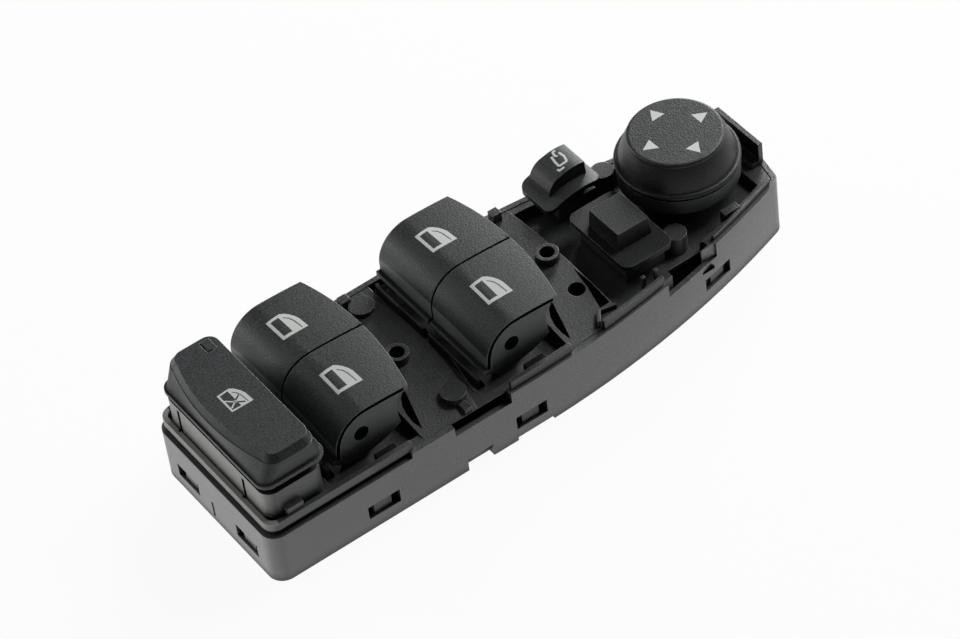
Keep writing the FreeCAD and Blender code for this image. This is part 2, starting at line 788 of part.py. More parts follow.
def upper_housing():
    plate_bottom = deck_top - size("deck_plate")
    plate = slab("deck_plate_slab", inner, plate_bottom, deck_top)
    skirt = slab("skirt_ring", inner, size("skirt_bottom"), deck_top, hollow=inner + size("skirt_wall"))
    solids = [plate, skirt]
    tools = []

    # Wells under the rockers: pans below the deck, kept inside the plan
    pans = []
    for pair, pivot_x in PIVOTS.items():
        (x0, x1), (y0, y1) = well_span(pivot_x)
        wall = size("well_plate")
        pans.append(block(pair + "_pan", (x0 - wall, x1 + wall), (y0 - wall, y1 + wall),
                          (size("well_floor") - wall, deck_top - 0.3)))
        tools.append(block(pair + "_well", (x0, x1), (y0, y1), (size("well_floor"), deck_top + 8)))
    pan_plan = slab("pan_plan", inner + 0.5, size("skirt_bottom"), size("rim_top") + 4)
    solids.append(common("pans_inside", fuse("pans", pans), pan_plan))

    # The sunk deck under the mirror controls, open at the finger notch
    mirror_end = half_length - size("mirror_end_gap")
    pan = slab("mirror_pan_plan", inner + 0.5, mirror_base, deck_top - 0.3)
    pan_keep = block("mirror_pan_keep", (mirror_x - size("well_plate"), half_length), (front, back),
                     (mirror_base - 1, deck_top))
    solids.append(common("mirror_pan", pan, pan_keep))
    room = slab("mirror_room_plan", inner + size("mirror_rim"), size("mirror_floor"), deck_top + 8)
    room_keep = block("mirror_room_keep", (mirror_x, mirror_end), (front, back), (mirror_base, deck_top + 9))
    tools.append(common("mirror_room", room, room_keep))
    notch_x0, notch_x1 = RIM_NOTCHES[1][:2]
    notch_y = bend_front((notch_x0 + notch_x1) / 2)
    tools.append(block("notch_well", (notch_x0 + 3.4, notch_x1 - 2.0),
                       (num(notch_y - 1.5), num(notch_y) + inner + 4),
                       (size("skirt_bottom") - 1, deck_top + 5)))

    # The raised rim round the child-lock button and the rear pair, and beside the front pair
    ring = slab("rim_ring", size("rim_inset"), size("rim_bottom"), size("rim_top"),
                hollow=size("rim_inset") + size("rim_wall"))
    foot_ring = slab("rim_foot", inner, deck_top - 1, size("rim_top") - 1,
                     hollow=size("rim_inset") + size("rim_wall"))
    rim_left = block("rim_keep_left", (left - 1, size("low_rim_end_x") + 1), (front - 1, back + 1),
                     (plate_bottom, size("rim_top") + 1))
    rim_right = block("rim_keep_front", (PIVOTS["front"] - 7, PIVOTS["front"] + 15.0), (front - 1, back + 1),
                      (plate_bottom, size("rim_top") + 1))
    keep = fuse("rim_keep", [rim_left, rim_right])
    solids.append(common("rim_kept", fuse("rim_both", [ring, foot_ring]), keep))

    # Crowned decks between the pairs and before the mirror controls
    first = valley("valley_rear", PIVOTS["rear"] + 15.6, PIVOTS["front"] - 15.2, True)
    second = valley("valley_front", PIVOTS["front"] + 15.6, mirror_x, False)
    solids.append(common("valleys", fuse("valley_pair", [first, second]), pan_plan))

    # Collar round the child-lock button
    lx, ly = (lock_left, lock_right), (size("lock_front"), size("lock_back"))
    wall = size("lock_wall")
    collar = body("lock_collar")
    collar_plan = sketch(collar, "XY", plate_bottom)
    rounded(collar_plan, lx, ly, size("lock_corner"))
    pad(collar, collar_plan, size("lock_collar_top") - plate_bottom)
    solids.append(collar)
    tools.append(block("lock_well", (lx[0] + wall, lx[1] - wall), (ly[0] + wall, ly[1] - wall),
                       (size("skirt_bottom") - 1, size("lock_collar_top") + 1)))
    for i, (y, low) in enumerate(COLLAR_SLOTS):
        tools.append(block("collar_slot" + str(i), (lx[0] - 1, lx[0] + 0.8), (y - 0.5, y + 0.5),
                           (low, low + 9.4)))
    lock_floor = block("lock_floor", (lx[0] + 0.5, lx[1] - 0.5), (ly[0] + 0.5, ly[1] - 0.5),
                       (plate_bottom, deck_top))
    lock_x, lock_y = LOCK_PLUNGER
    sleeve_r = size("plunger_radius") + size("sleeve_clearance") + size("sleeve_wall")
    late = [lock_floor, rod("lock_sleeve", "z", (lock_x, lock_y, plate_bottom),
                            size("sleeve_top") - plate_bottom, sleeve_r)]

    # Ears, trunnions and plunger sleeves
    late += ear_solids()
    bores = []
    for name, x, y in plunger_places():
        late.append(rod(name + "_sleeve", "z", (x, y, size("well_floor") - size("well_plate")),
                        size("sleeve_top") - size("well_floor") + size("well_plate"), sleeve_r))
        bores.append(rod(name + "_bore", "z", (x, y, size("skirt_bottom")), num(20.0),
                         size("plunger_radius") + size("sleeve_clearance")))
    bores.append(rod("lock_bore", "z", (lock_x, lock_y, size("skirt_bottom")), num(20.0),
                     size("plunger_radius") + size("sleeve_clearance")))

    # Guide towers for the slider and the fold button, and the yoke of the joystick
    for name, y, depth in (("slider_tower", size("slider_y"), size("slider_tower_depth")),
                           ("fold_tower", size("fold_tower_y"), size("fold_tower_depth"))):
        outer, hole = guide_tower(name, y, depth)
        late.append(outer)
        bores.append(hole)
    kx, ky, gz = knob_x, size("knob_y"), size("gimbal_height")
    reach = size("gimbal_outer") + size("yoke_gap")
    ring_r = reach + size("yoke_wall")
    late.append(rod("yoke_ring", "z", (kx, ky, gz - 3.4), num(6.0), ring_r))
    bores.append(rod("yoke_well", "z", (kx, ky, size("skirt_bottom") - 1), num(12.0), reach))
    bores.append(rod("yoke_bore", "x", (kx - ring_r - 1, ky, gz), ring_r * 2 + 2,
                     size("trunnion_radius") + size("trunnion_clearance")))

    # Bosses, locating posts and the upright tab at the front end
    for i, (x, y, r, foot) in enumerate(BOSSES):
        late.append(rod("boss" + str(i), "z", (x, y, foot), size("boss_top") - foot, r))
    rib_x, rib_y = BOSSES[0][0], BOSSES[0][1]
    late.append(block("boss_rib", (rib_x - 1.2, rib_x + 1.2), (front + inner + 0.4, rib_y),
                      (plate_bottom, size("boss_top") - 1.5)))
    for i, (x, y) in enumerate(RING_BOSSES):
        late.append(rod("ring_boss" + str(i), "z", (x, y, plate_bottom),
                        size("ring_boss_top") - plate_bottom, num(3.6)))
        bores.append(rod("ring_bore" + str(i), "z", (x, y, size("skirt_bottom")), num(14.0), num(2.4)))
    hole_r = size("locating_hole_radius")
    late.append(rod("deck_hole_sleeve", "z", (DECK_HOLE[0], DECK_HOLE[1], plate_bottom - 1.8), num(4.5),
                    hole_r + 2))
    bores.append(rod("deck_hole", "z", (DECK_HOLE[0], DECK_HOLE[1], size("skirt_bottom")), num(14.0), hole_r))
    for i, (x, y) in enumerate(CORNER_POSTS):
        late.append(block("corner_post" + str(i), (x - 1.5, x + 1.5), (y - 1.5, y + 1.5),
                          (plate_bottom, size("ring_boss_top") - 1)))
    lock_mid = lx[0] + 7.7
    late.append(block("collar_catch", (lock_mid - 2.7, lock_mid + 2.7), (ly[0] - 1.8, ly[0] + 0.2),
                      (size("rim_bottom") + 0.7, size("rim_bottom") + 5.2)))
    late.append(block("front_catch", (knob_x - 0.4, knob_x + 5.4), (seam - 21.6, seam - 19.0),
                      (mirror_base, deck_top + 2.2)))
    for i, x in enumerate((button_x - 5.7, button_x - 1.1)):
        late.append(block("slider_fin" + str(i), (x - 0.6, x + 0.6),
                          (size("slider_y") - 18.7, size("slider_y") - 17.5), (mirror_base, size("tower_top") + 1.0)))
    tab_y = (seam - 10.0, seam + 11.0)
    late.append(block("end_tab", (half_length - 2.4, half_length - 0.8), tab_y,
                      (size("rim_bottom"), size("rim_top") + 4.9)))
    late.append(block("end_tab_foot", (half_length - inner - 3.0, half_length - 0.8), tab_y,
                      (size("rim_bottom"), size("rim_bottom") + 1.2)))
    late.append(block("end_tab_root", (half_length - inner - 3.0, half_length - inner - 0.3), tab_y,
                      (plate_bottom + 0.3, size("rim_bottom") + 1.0)))

    # Hooks that sit in the snap windows
    hook = size("hook_clearance")
    for i, x in enumerate(FRONT_WINDOWS):
        late.append(block("front_hook" + str(i), window_span(x, 2.5), (front + 0.9, front + inner + 1.6),
                          (window_z[0] + hook, window_z[1] - hook)))
        late.append(block("front_arm" + str(i), window_span(x, 2.5), (front + inner, front + inner + 1.6),
                          (window_z[0] + hook, size("skirt_bottom") + 1)))
    for i, y in enumerate(END_WINDOWS):
        late.append(block("end_hook" + str(i), (left + 0.9, left + inner + 1.6), window_span(y, 2.5),
                          (window_z[0] + hook, window_z[1] - hook)))
        late.append(block("end_arm" + str(i), (left + inner, left + inner + 1.6), window_span(y, 2.5),
                          (window_z[0] + hook, size("skirt_bottom") + 1)))

    hollowed = cut("deck_hollowed", fuse("deck_solid", solids), tools)
    finish("upper_housing", cut("deck_bored", fuse("deck_full", [hollowed] + late), bores))


LOCK_PLUNGER = ((lock_left + lock_right) / 2, (size("lock_front") + size("lock_back")) / 2)
BOSSES = [(PIVOTS["rear"] + 31.5, seam - 26.2, num(3.9), deck_top - size("deck_plate")),
          (PIVOTS["rear"] + 31.1, seam + 19.4, num(3.9), deck_top - size("deck_plate")),
          (button_x + 12.7, seam + 17.2, num(3.5), mirror_base),
          (button_x + 13.0, seam - 18.0, num(3.5), mirror_base)]
RING_BOSSES = [(PIVOTS["rear"] + 27.2, seam - 4.7), (PIVOTS["front"] + 31.2, seam - 1.1)]
CORNER_POSTS = [(PIVOTS["rear"] + 28.2, back - 4.9), (PIVOTS["front"] + 30.0, back - 5.4)]
COLLAR_SLOTS = [(seam + 13.0, num(21.4)), (seam - 20.3, num(20.9))]
DECK_HOLE = (PIVOTS["front"] + 30.3, seam - 16.4)


def child_lock_button():
    lx = (lock_left - 0.6, lock_right + 1.9)
    ly = (size("lock_front") - 0.3, size("lock_back") + 0.1)
    lip = size("lock_collar_top") + size("lock_travel") + size("lock_lip_gap")
    corner, waist = size("lock_corner"), size("lock_waist")
    bulge, bevel = size("lock_bulge"), size("lock_top_bevel")
    waist_z = lip + size("lock_lip_band")
    crease = size("lock_crease_height")
    top = size("lock_top")
    cap = body("lock_cap")

    # A lip, a side that leans out to the bowed crease, and a bevelled top
    base = sketch(cap, "XY", lip)
    rounded(base, lx, ly, corner)
    pad(cap, base, size("lock_lip_band") + 0.1)
    crease_x = (lx[0] + 3.6, lx[1] - 2.1)
    crease_y = (ly[0] + 0.6, ly[1] + 1.0)
    plans = []
    for z, x, y, radius, bow in (
        (waist_z, (lx[0] + waist, lx[1] - waist), (ly[0] + waist, ly[1] - waist), corner - waist, num(0.05)),
        (crease, crease_x, crease_y, corner + 0.5, bulge),
        (crease, (crease_x[0] + 0.3, crease_x[1] - 0.3), (crease_y[0] + 0.3, crease_y[1] - 0.3), corner, bulge),
        (top, (crease_x[0] + bevel, crease_x[1] - bevel / 2), (crease_y[0] + bevel + 0.4, crease_y[1] - bevel),
         corner - 0.6, bulge),
    ):
        plan = sketch(cap, "XY", z)
        rounded(plan, x, y, radius, bow)
        plans.append(plan)
    for i in (0, 2):
        loft = cap.newObject("PartDesign::AdditiveLoft", "lock_loft" + str(i))
        loft.Profile = plans[i]
        loft.Sections = [plans[i + 1]]
        loft.Ruled = True
        cap.Tip = loft

    # Hollow from below, with a skirt that runs inside the collar and a rib over the plunger
    shell = size("lock_shell")
    skirt_gap = size("lock_wall") + size("lock_skirt_gap")
    sx = (lock_left + skirt_gap, lock_right - skirt_gap)
    sy = (size("lock_front") + skirt_gap, size("lock_back") - skirt_gap)
    skirt = block("lock_skirt", sx, sy, (size("lock_skirt_bottom"), lip + 1.0))
    ceiling = top - shell - 1.2
    hollow = block("lock_hollow", (sx[0] + shell, sx[1] - shell), (sy[0] + shell, sy[1] - shell),
                   (size("lock_skirt_bottom") - 1, ceiling))
    x, y = LOCK_PLUNGER
    rib = block("lock_rib", (x - 2, x + 2), (y - 2, y + 2), (LOCK_HEAD + size("actuator_gap"), ceiling + 1))
    lens_hole = block("lens_hole", *lens_span(0.0))
    shelled = cut("lock_shelled", fuse("lock_whole", [cap, skirt]), [hollow, lens_hole])
    finish("child_lock_button", fuse("lock_ribbed", [shelled, rib]))


LOCK_HEAD = size("lock_skirt_bottom") + 1.6


def lens_span(clearance):
    x0 = lock_left + 13.6
    y0 = size("lock_back") - 6.3
    return ((x0 + clearance, x0 + 3.4 - clearance), (y0 + clearance, y0 + 4.7 - clearance),
            (size("lock_crease_height") - 1, size("lock_top") + 1))


def child_lock_lens():
    x, y, z = lens_span(0.05)
    face = block("lens_block", x, y, (z[0] + 0.05, size("lock_top")))
    ceiling = size("lock_top") - size("lock_shell") - 1.2
    flange = block("lens_flange", (x[0] - 0.8, x[0] + 2.0), (y[0] - 0.8, size("lock_back") - 4.1),
                   (ceiling - 1.2, ceiling - 0.05))
    finish("child_lock_lens", fuse("lens_solid", [face, flange]))


def mirror_knob():
    top = float(size("knob_top"))
    top_r = float(size("knob_top_radius"))
    flange_r = float(size("knob_flange_radius"))
    low = float(size("knob_flange_bottom"))
    wall = float(size("knob_wall"))
    high = low + float(size("knob_flange_height"))
    stem_r = float(size("stem_radius"))
    stem_end = float(size("gimbal_height")) - 2.0
    neck_r = float(size("knob_skirt_radius")) - 1.6
    points = [
        (0.0, stem_end), (stem_r, stem_end), (stem_r, top - wall), (top_r - wall, top - wall),
        [(top_r - wall * 0.6, top - 5.0), (neck_r - 1.2, low + 0.6)],
        (neck_r - 1.2, low), (flange_r - 0.5, low), [(flange_r, low + 0.4), (flange_r, high - 0.6)],
        [(flange_r - 0.5, high), (flange_r - 1.2, high)],
        [(top_r + 1.5, (high + top) / 2 + 0.4), (top_r + 0.1, top - 1.0)],
        [(top_r - 0.25, top - 0.25), (top_r - 1.0, top)], (0.0, top),
    ]
    turned_knob = turned("knob_turned", points, knob_x, size("knob_y"))
    pin_r = size("trunnion_radius")
    reach = size("gimbal_outer") - 0.4
    cross = rod("knob_cross", "y", (knob_x, size("knob_y") - reach, size("gimbal_height")), reach * 2, pin_r)
    finish("mirror_knob", fuse("knob_solid", [turned_knob, cross]))


def mirror_knob_skirt():
    low = float(size("knob_skirt_bottom"))
    high = float(size("knob_flange_bottom"))
    r = float(size("knob_skirt_radius"))
    wall = 2.2
    points = [(r - wall, low), (r - 0.8, low), (r - 0.2, low + 0.6), (r, high - 0.35), (r - wall, high - 0.35),
              (r - wall, low)][:-1]
    ring = turned("knob_skirt_turned", points, knob_x, size("knob_y"))
    lip = turned("knob_skirt_lip", [(r - wall - 1.2, high - 2.0), (r - wall + 0.2, high - 2.0),
                                    (r - wall + 0.2, high), (r - wall - 1.2, high)],
                 knob_x, size("knob_y"))
    finish("mirror_knob_skirt", fuse("knob_skirt_solid", [ring, lip]))


def gimbal_ring():
    z = size("gimbal_height")
    kx, ky = knob_x, size("knob_y")
    half = size("gimbal_thickness") / 2
    ring = rod("gimbal_disc", "z", (kx, ky, z - half), half * 2, size("gimbal_outer"))
    hole = rod("gimbal_hole", "z", (kx, ky, z - half - 1), half * 2 + 2, size("gimbal_inner"))
    pin_r = size("trunnion_radius")
    reach = size("gimbal_outer") + size("yoke_gap") + size("yoke_wall") - 0.4
    pins = [rod("gimbal_pin_left", "x", (kx - reach, ky, z), reach - size("gimbal_inner") - 0.5, pin_r),
            rod("gimbal_pin_right", "x", (kx + size("gimbal_inner") + 0.5, ky, z),
                reach - size("gimbal_inner") - 0.5, pin_r)]
    bore = rod("gimbal_bore", "y", (kx, ky - size("gimbal_outer") - 1, z), size("gimbal_outer") * 2 + 2,
               pin_r + size("trunnion_clearance"))
    finish("gimbal_ring", cut("gimbal_cut", fuse("gimbal_solid", [ring] + pins), [hole, bore]))


def mirror_select_slider():
    x, y = button_x, size("slider_y")
    half_x, half_y = size("plate_length") / 2, size("slider_plate_depth") / 2
    top = size("slider_plate_top")
    item = body("slider_body")
    plate = sketch(item, "XY", top - size("plate_thickness"))
    rounded(plate, (x - half_x, x + half_x), (y - half_y, y + half_y), num(3.0))
    pad(item, plate, size("plate_thickness"))
    bx, by = size("slider_block_length") / 2, size("slider_block_depth") / 2
    raised = sketch(item, "XY", top - 0.2)
    rectangle(raised, (x - bx - 0.4, x + bx + 0.4), (y - by - 0.4, y + by + 0.4))
    head = sketch(item, "XY", size("slider_block_top"))
    rectangle(head, (x - bx, x + bx), (y - by, y + by))
    loft = item.newObject("PartDesign::AdditiveLoft", "slider_loft")
    loft.Profile = raised
    loft.Sections = [head]
    loft.Ruled = True
    item.Tip = loft
    gap = size("stalk_gap") + size("tower_wall")
    tx, ty = size("tower_length") / 2 - gap, size("slider_tower_depth") / 2 - gap - size("slider_travel")
    stalk = block("slider_stalk", (x - tx, x + tx), (y - ty, y + ty), (deck_top - 3, top - 0.5))
    finish("mirror_select_slider", fuse("slider_solid", [item, stalk]))


def mirror_fold_button():
    x, y = button_x, size("fold_y")
    half_x, half_y = size("plate_length") / 2 + 0.9, size("fold_plate_depth") / 2
    crest = float(size("fold_plate_rise"))
    r = float(size("fold_bow_radius"))
    thick = float(size("plate_thickness"))
    cx = float(x) + 1.4
    mid_x = x - size("fold_plate_shift")
    x0, x1 = float(mid_x - half_x), float(mid_x + half_x)

    def bow(at, radius):
        return crest - r + math.sqrt(radius ** 2 - (at - cx) ** 2)

    item = body("fold_body")
    profile = sketch(item, "XZ", y)
    draw(profile, chain([(x0, bow(x0, r)), [(cx - 4, bow(cx - 4, r)), (x1, bow(x1, r))],
                         (x1, bow(x1, r) - thick), [(cx - 4, bow(cx - 4, r) - thick), (x0, bow(x0, r) - thick)],
                         (x0, bow(x0, r))]))
    pad(item, profile, half_y * 2, middle=True)
    trim = sketch(item, "XY")
    rounded(trim, (mid_x - half_x, mid_x + half_x), (y - half_y, y + half_y), num(2.8))
    rectangle(trim, (mid_x - half_x - 5, mid_x + half_x + 5), (y - half_y - 5, y + half_y + 5))
    pocket(item, trim)
    bx, by = size("fold_block_length") / 2, size("fold_block_depth") / 2
    top = float(size("fold_block_top"))
    bx0, bx1 = float(x - bx), float(x + bx)
    head = body("fold_head")
    side = sketch(head, "XZ", y + 1.5)
    draw(side, chain([(bx0 - 2.2, crest - 2.6), [(bx0 - 0.9, top - 2.6), (bx0 + 3.0, top - 0.5)],
                      [(bx0 + 6.0, top + 0.05), (bx1, top - 0.3)], (bx1 + 0.3, crest - 1.0),
                      (bx0 - 2.2, crest - 2.6)]))
    pad(head, side, by * 2, middle=True)
    gap = size("stalk_gap") + size("tower_wall")
    tx, ty = size("tower_length") / 2 - gap, size("fold_tower_depth") / 2 - gap
    stalk_y = size("fold_tower_y")
    stalk = block("fold_stalk", (x - tx, x + tx), (stalk_y - ty, stalk_y + ty),
                  (deck_top - 0.6 - size("fold_travel"), num(crest - 1.8)))
    finish("mirror_fold_button", fuse("fold_solid", [item, head, stalk]))


def circuit_board():
    bottom = size("board_bottom")
    inset = size("wall") + size("board_clearance") + size("shell_clearance") + size("skirt_wall")
    board = slab("board_slab", inset, bottom, bottom + size("board_thickness"))
    notches = []
    for i, x in enumerate(FRONT_WINDOWS):
        notches.append(block("board_notch" + str(i), window_span(x, 1.5), (front, front + inner + 3.2),
                             (bottom - 1, bottom + 3)))
    for i, y in enumerate(END_WINDOWS):
        notches.append(block("board_end_notch" + str(i), (left, left + inner + 3.2), window_span(y, 1.5),
                             (bottom - 1, bottom + 3)))
    finish("circuit_board", cut("board_cut", board, notches))


def contact_mat():
    bottom = size("board_bottom") + size("board_thickness")
    top = bottom + size("mat_thickness")
    wide = size("rocker_width") * 0.7
    sheet_body = block("mat_sheet", (lock_left + 6, PIVOTS["front"] + size("push_offset") + 6),
                       (seam - wide, seam + wide), (bottom, top))
    r = float(size("dome_radius"))
    high = float(top) + float(size("dome_height"))
    domes = []
    places = [(x, y) for name, x, y in plunger_places()] + [LOCK_PLUNGER]
    for i, (x, y) in enumerate(places):
        domes.append(turned("mat_dome" + str(i), [(0.0, float(top) - 0.3), (r, float(top) - 0.3), (r, top),
                                                  (r * 0.62, high), (0.0, high)], x, y))
    finish("contact_mat", fuse("mat_solid", [sheet_body] + domes))


PINS = 12


def connector_header():
    sx, sy = size("socket_x"), size("socket_y")
    half_x = size("socket_length") / 2 - 0.1
    half_y = size("socket_width") / 2 - 0.1
    top = size("board_bottom")
    block_body = block("header_block", (sx - half_x, sx + half_x), (sy - half_y, sy + half_y),
                       (top - size("header_height"), top))
    holes = [block("header_hole" + str(i), *pin_span(i, 0.02, top - size("header_height") - 1, top + 1))
             for i in range(PINS)]
    finish("connector_header", cut("header_cut", block_body, holes))


def pin_span(index, clearance, bottom, top):
    """The x, y and z ranges of one terminal pin."""
    per_row = PINS // 2
    column, line = index % per_row, index // per_row
    x = size("socket_x") + size("pin_pitch") * (column - (per_row - 1) / 2)
    y = size("socket_y") + size("pin_row_gap") * (line - 0.5)
    half = size("pin_size") / 2 + clearance
    return (x - half, x + half), (y - half, y + half), (bottom, top)


def terminal_pins():
    pins = [block("pin" + str(i), *pin_span(i, 0.0, size("pin_tip"), size("board_bottom")))
            for i in range(PINS)]
    finish("terminal_pins", fuse("pin_rows", pins))


lower_housing()
upper_housing()
for pair_name, pivot in PIVOTS.items():
    for hand_name in ("left", "right"):
        rocker(pair_name + "_" + hand_name + "_rocker", pivot, hand_name)
for plunger_name, plunger_x, plunger_y in plunger_places():
    plunger(plunger_name, plunger_x, plunger_y, size("plunger_foot"), size("plunger_head"))
plunger("child_lock_plunger", LOCK_PLUNGER[0], LOCK_PLUNGER[1], size("plunger_foot") + 1.0, LOCK_HEAD)
child_lock_button()
child_lock_lens()
mirror_knob()
mirror_knob_skirt()
gimbal_ring()
mirror_select_slider()
mirror_fold_button()
circuit_board()
contact_mat()
connector_header()
terminal_pins()
doc.recompute()

# Every object has to be sound before anything is written
failed = [item.Name for item in doc.Objects if "Invalid" in item.State or "Error" in item.State]
if failed:
    raise RuntimeError("failed objects: " + ", ".join(failed))
os.makedirs("parts", exist_ok=True)
for node, item in finished.items():
    shape = item.Shape
    if shape.isNull() or not shape.isValid():
        raise RuntimeError("bad shape: " + node)
    shape.exportStep("parts/" + node + ".step")
    print(node, "solids", len(shape.Solids), "volume", round(shape.Volume, 1))
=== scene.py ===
# %% [markdown]
# # A power window switch from a driver's door
#
# The object is a switch pack of black moulded plastic. Four rockers raise and lower the
# windows, a long button at the left end locks the rear ones, and a round knob, a slider and
# a small button at the right end work the mirrors. The solid parts are already made and
# packed, so this lesson dresses them: grained plastic, printed signs, small moulded
# details, a white table, soft lamps and the camera.
#
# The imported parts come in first. Their places stay as they are, and every new piece is
# told which of them it moves with.

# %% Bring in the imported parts
import math

import bmesh
import bpy
from mathutils import Matrix, Vector
from mathutils.bvhtree import BVHTree
from mathutils.geometry import tessellate_polygon


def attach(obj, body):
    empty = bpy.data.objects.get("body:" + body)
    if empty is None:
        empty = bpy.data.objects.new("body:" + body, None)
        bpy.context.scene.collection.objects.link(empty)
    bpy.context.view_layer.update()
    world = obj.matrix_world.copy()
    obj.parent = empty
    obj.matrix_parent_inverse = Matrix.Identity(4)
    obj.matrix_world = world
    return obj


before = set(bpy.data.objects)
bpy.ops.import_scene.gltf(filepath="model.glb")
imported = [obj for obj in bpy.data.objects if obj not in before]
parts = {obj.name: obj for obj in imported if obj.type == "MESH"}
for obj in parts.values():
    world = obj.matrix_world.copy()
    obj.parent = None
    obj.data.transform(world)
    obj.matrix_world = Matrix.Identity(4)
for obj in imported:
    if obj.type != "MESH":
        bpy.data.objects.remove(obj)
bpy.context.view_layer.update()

# %% [markdown]
# ## Lengths and colours
#
# The maker's drawing is in millimetres and Blender works in metres, so lengths below are
# written in millimetres and multiplied once. Colours are written as a picture program
# shows them, from 0 to 255, and turned into the linear numbers that a shader wants.

# %% Units for lengths and colours
MM = 0.001


def paint(red, green, blue):
    """The linear colour for screen values from 0 to 255."""
    def linear(level):
        share = level / 255
        return share / 12.92 if share <= 0.04045 else ((share + 0.055) / 1.055) ** 2.4
    return tuple(linear(level) for level in (red, green, blue)) + (1.0,)


print("charcoal in linear numbers:", [round(v, 4) for v in paint(60, 64, 64)])

# %% [markdown]
# ## Writing shader maths as sums
#
# A finish is a small network of nodes. Wiring each Math node by hand hides the sum that it
# stands for, so one short class holds a socket that carries a number and turns + - and *
# into Math nodes. `1 - mask` then reads as it would on paper.

# %% A number in a shader
class Level:
    """A socket that carries one number, so that finishes can be written as sums."""

    def __init__(self, finish, socket):
        self.finish = finish
        self.socket = socket

    def sum(self, operation, first, second, clamp=False):
        settings = {"operation": operation, "use_clamp": clamp}
        node = self.finish.add("ShaderNodeMath", settings, {0: first, 1: second})
        return Level(self.finish, node.outputs[0])

    def __add__(self, other):
        return self.sum("ADD", self, other)

    def __radd__(self, other):
        return self.sum("ADD", other, self)

    def __sub__(self, other):
        return self.sum("SUBTRACT", self, other)

    def __rsub__(self, other):
        return self.sum("SUBTRACT", other, self)

    def __mul__(self, other):
        return self.sum("MULTIPLY", self, other)

    def __rmul__(self, other):
        return self.sum("MULTIPLY", other, self)

    def kept(self):
        """The same number held between 0 and 1."""
        return self.sum("ADD", self, 0.0, clamp=True)


print("Level can add, subtract and multiply")

# %% [markdown]
# ## A finish
#
# Every material here is one Principled shader with its fixed numbers set on its own
# sockets. Whatever changes over the surface comes through `add`, the one way to put in
# another node: its kind, its settings, then the values or links of its sockets.

# %% One material and its nodes
class Finish:
    """A material being made: a Principled shader, and a single way to add any other node."""

    def __init__(self, name, colour, fixed=None):
        self.material = bpy.data.materials.new(name)
        self.material.use_nodes = True
        self.tree = self.material.node_tree
        self.shader = self.tree.nodes["Principled BSDF"]
        self.output = self.tree.nodes["Material Output"]
        self.shader.inputs["Base Color"].default_value = colour
        for socket, value in (fixed or {}).items():
            self.shader.inputs[socket].default_value = value

    def add(self, kind, settings=None, values=None):
        node = self.tree.nodes.new(kind)
        for name, value in (settings or {}).items():
            setattr(node, name, value)
        for name, value in (values or {}).items():
            self.feed(value, node.inputs[name])
        return node

    def feed(self, value, socket):
        """Puts a plain value on a socket, or a link where the value comes from another node."""
        if isinstance(value, Level):
            value = value.socket
        if isinstance(value, bpy.types.NodeSocket):
            self.tree.links.new(value, socket)
        else:
            socket.default_value = value

    def level(self, node, output=0):
        return Level(self, node.outputs[output])

    def place(self):
        """Where a point of the surface lies in the object, in metres."""
        return self.add("ShaderNodeTexCoord").outputs["Object"]

    def noise(self, size_mm, detail=2.0):
        """Even noise whose blotches are about size_mm across."""
        values = {"Vector": self.place(), "Scale": 1 / (size_mm * MM), "Detail": detail,
                  "Roughness": 0.5}
        return self.level(self.add("ShaderNodeTexNoise", {"noise_dimensions": "3D"}, values))

    def apart(self, vector):
        """A node that gives the three numbers of a vector."""
        return self.add("ShaderNodeSeparateXYZ", None, {"Vector": vector})

    def mix(self, share, first, second):
        """One colour turning into another as share goes from 0 to 1."""
        values = {0: share, 6: first, 7: second}
        return self.add("ShaderNodeMix", {"data_type": "RGBA"}, values).outputs[2]

    def bump(self, height, strength, depth_mm, normal=None):
        """Raises the surface in the shading only."""
        values = {"Strength": strength, "Distance": depth_mm * MM, "Height": height}
        if normal is not None:
            values["Normal"] = normal
        raised = self.add("ShaderNodeBump", None, values)
        self.feed(raised.outputs[0], self.shader.inputs["Normal"])

    def dress(self, *things):
        for thing in things:
            thing.data.materials.clear()
            thing.data.materials.append(self.material)
            for face in thing.data.polygons:
                face.material_index = 0


print("a finish is one Principled shader with its own nodes")

# %% [markdown]
# ## Grained black plastic
#
# The real parts are moulded in a tool whose steel was etched, so the plastic comes out
# with a fine leathery grain: tiny bumps half a millimetre across that scatter the light and
# make the black look charcoal. A photograph of grain would show its repeat and needs a flat
# map, so the grain is made from noise in the object's own space. The same noise colours the
# plastic and raises it.

# %% Grain in the colour
GRAIN, GRAIN_DEPTH, CLOUD = 0.55, 0.1, 9.0
PIT_SHARE, TOP_SHARE = 0.35, 1.75


def scaled(colour, factor):
    return tuple(factor * v for v in colour[:3]) + (1,)


def grain_colour(finish, colour, fine, broad):
    """The plain colour, paler on the grain's tops, darker in its pits and a little clouded."""
    tone = ((fine - 0.5) * 2.6 + (broad - 0.5) * 0.3 + 0.5).kept()
    return finish.mix(tone, scaled(colour, PIT_SHARE), scaled(colour, TOP_SHARE))


print("grain in mm:", GRAIN, "across and", GRAIN_DEPTH, "deep")

# %% [markdown]
# ### Painted light and shade on steep faces
#
# In the photograph the steep faces are lit unlike the flat ones. White surroundings brighten
# the cheeks of the rockers and the left end, while the sides of the mirror buttons see only
# dark plastic. A few lamps don't copy those surroundings, so a finish can paint that light
# and shade into the colour of its steep faces, found from the way that a face leans.

# %% Painted light and shade by lean
LEFT_END = -60.0


def past(number, start_mm, slope):
    """Rises from 0 to 1 past a place in mm. A slope below 0 rises the other way."""
    return ((number - start_mm * MM) * slope).kept()


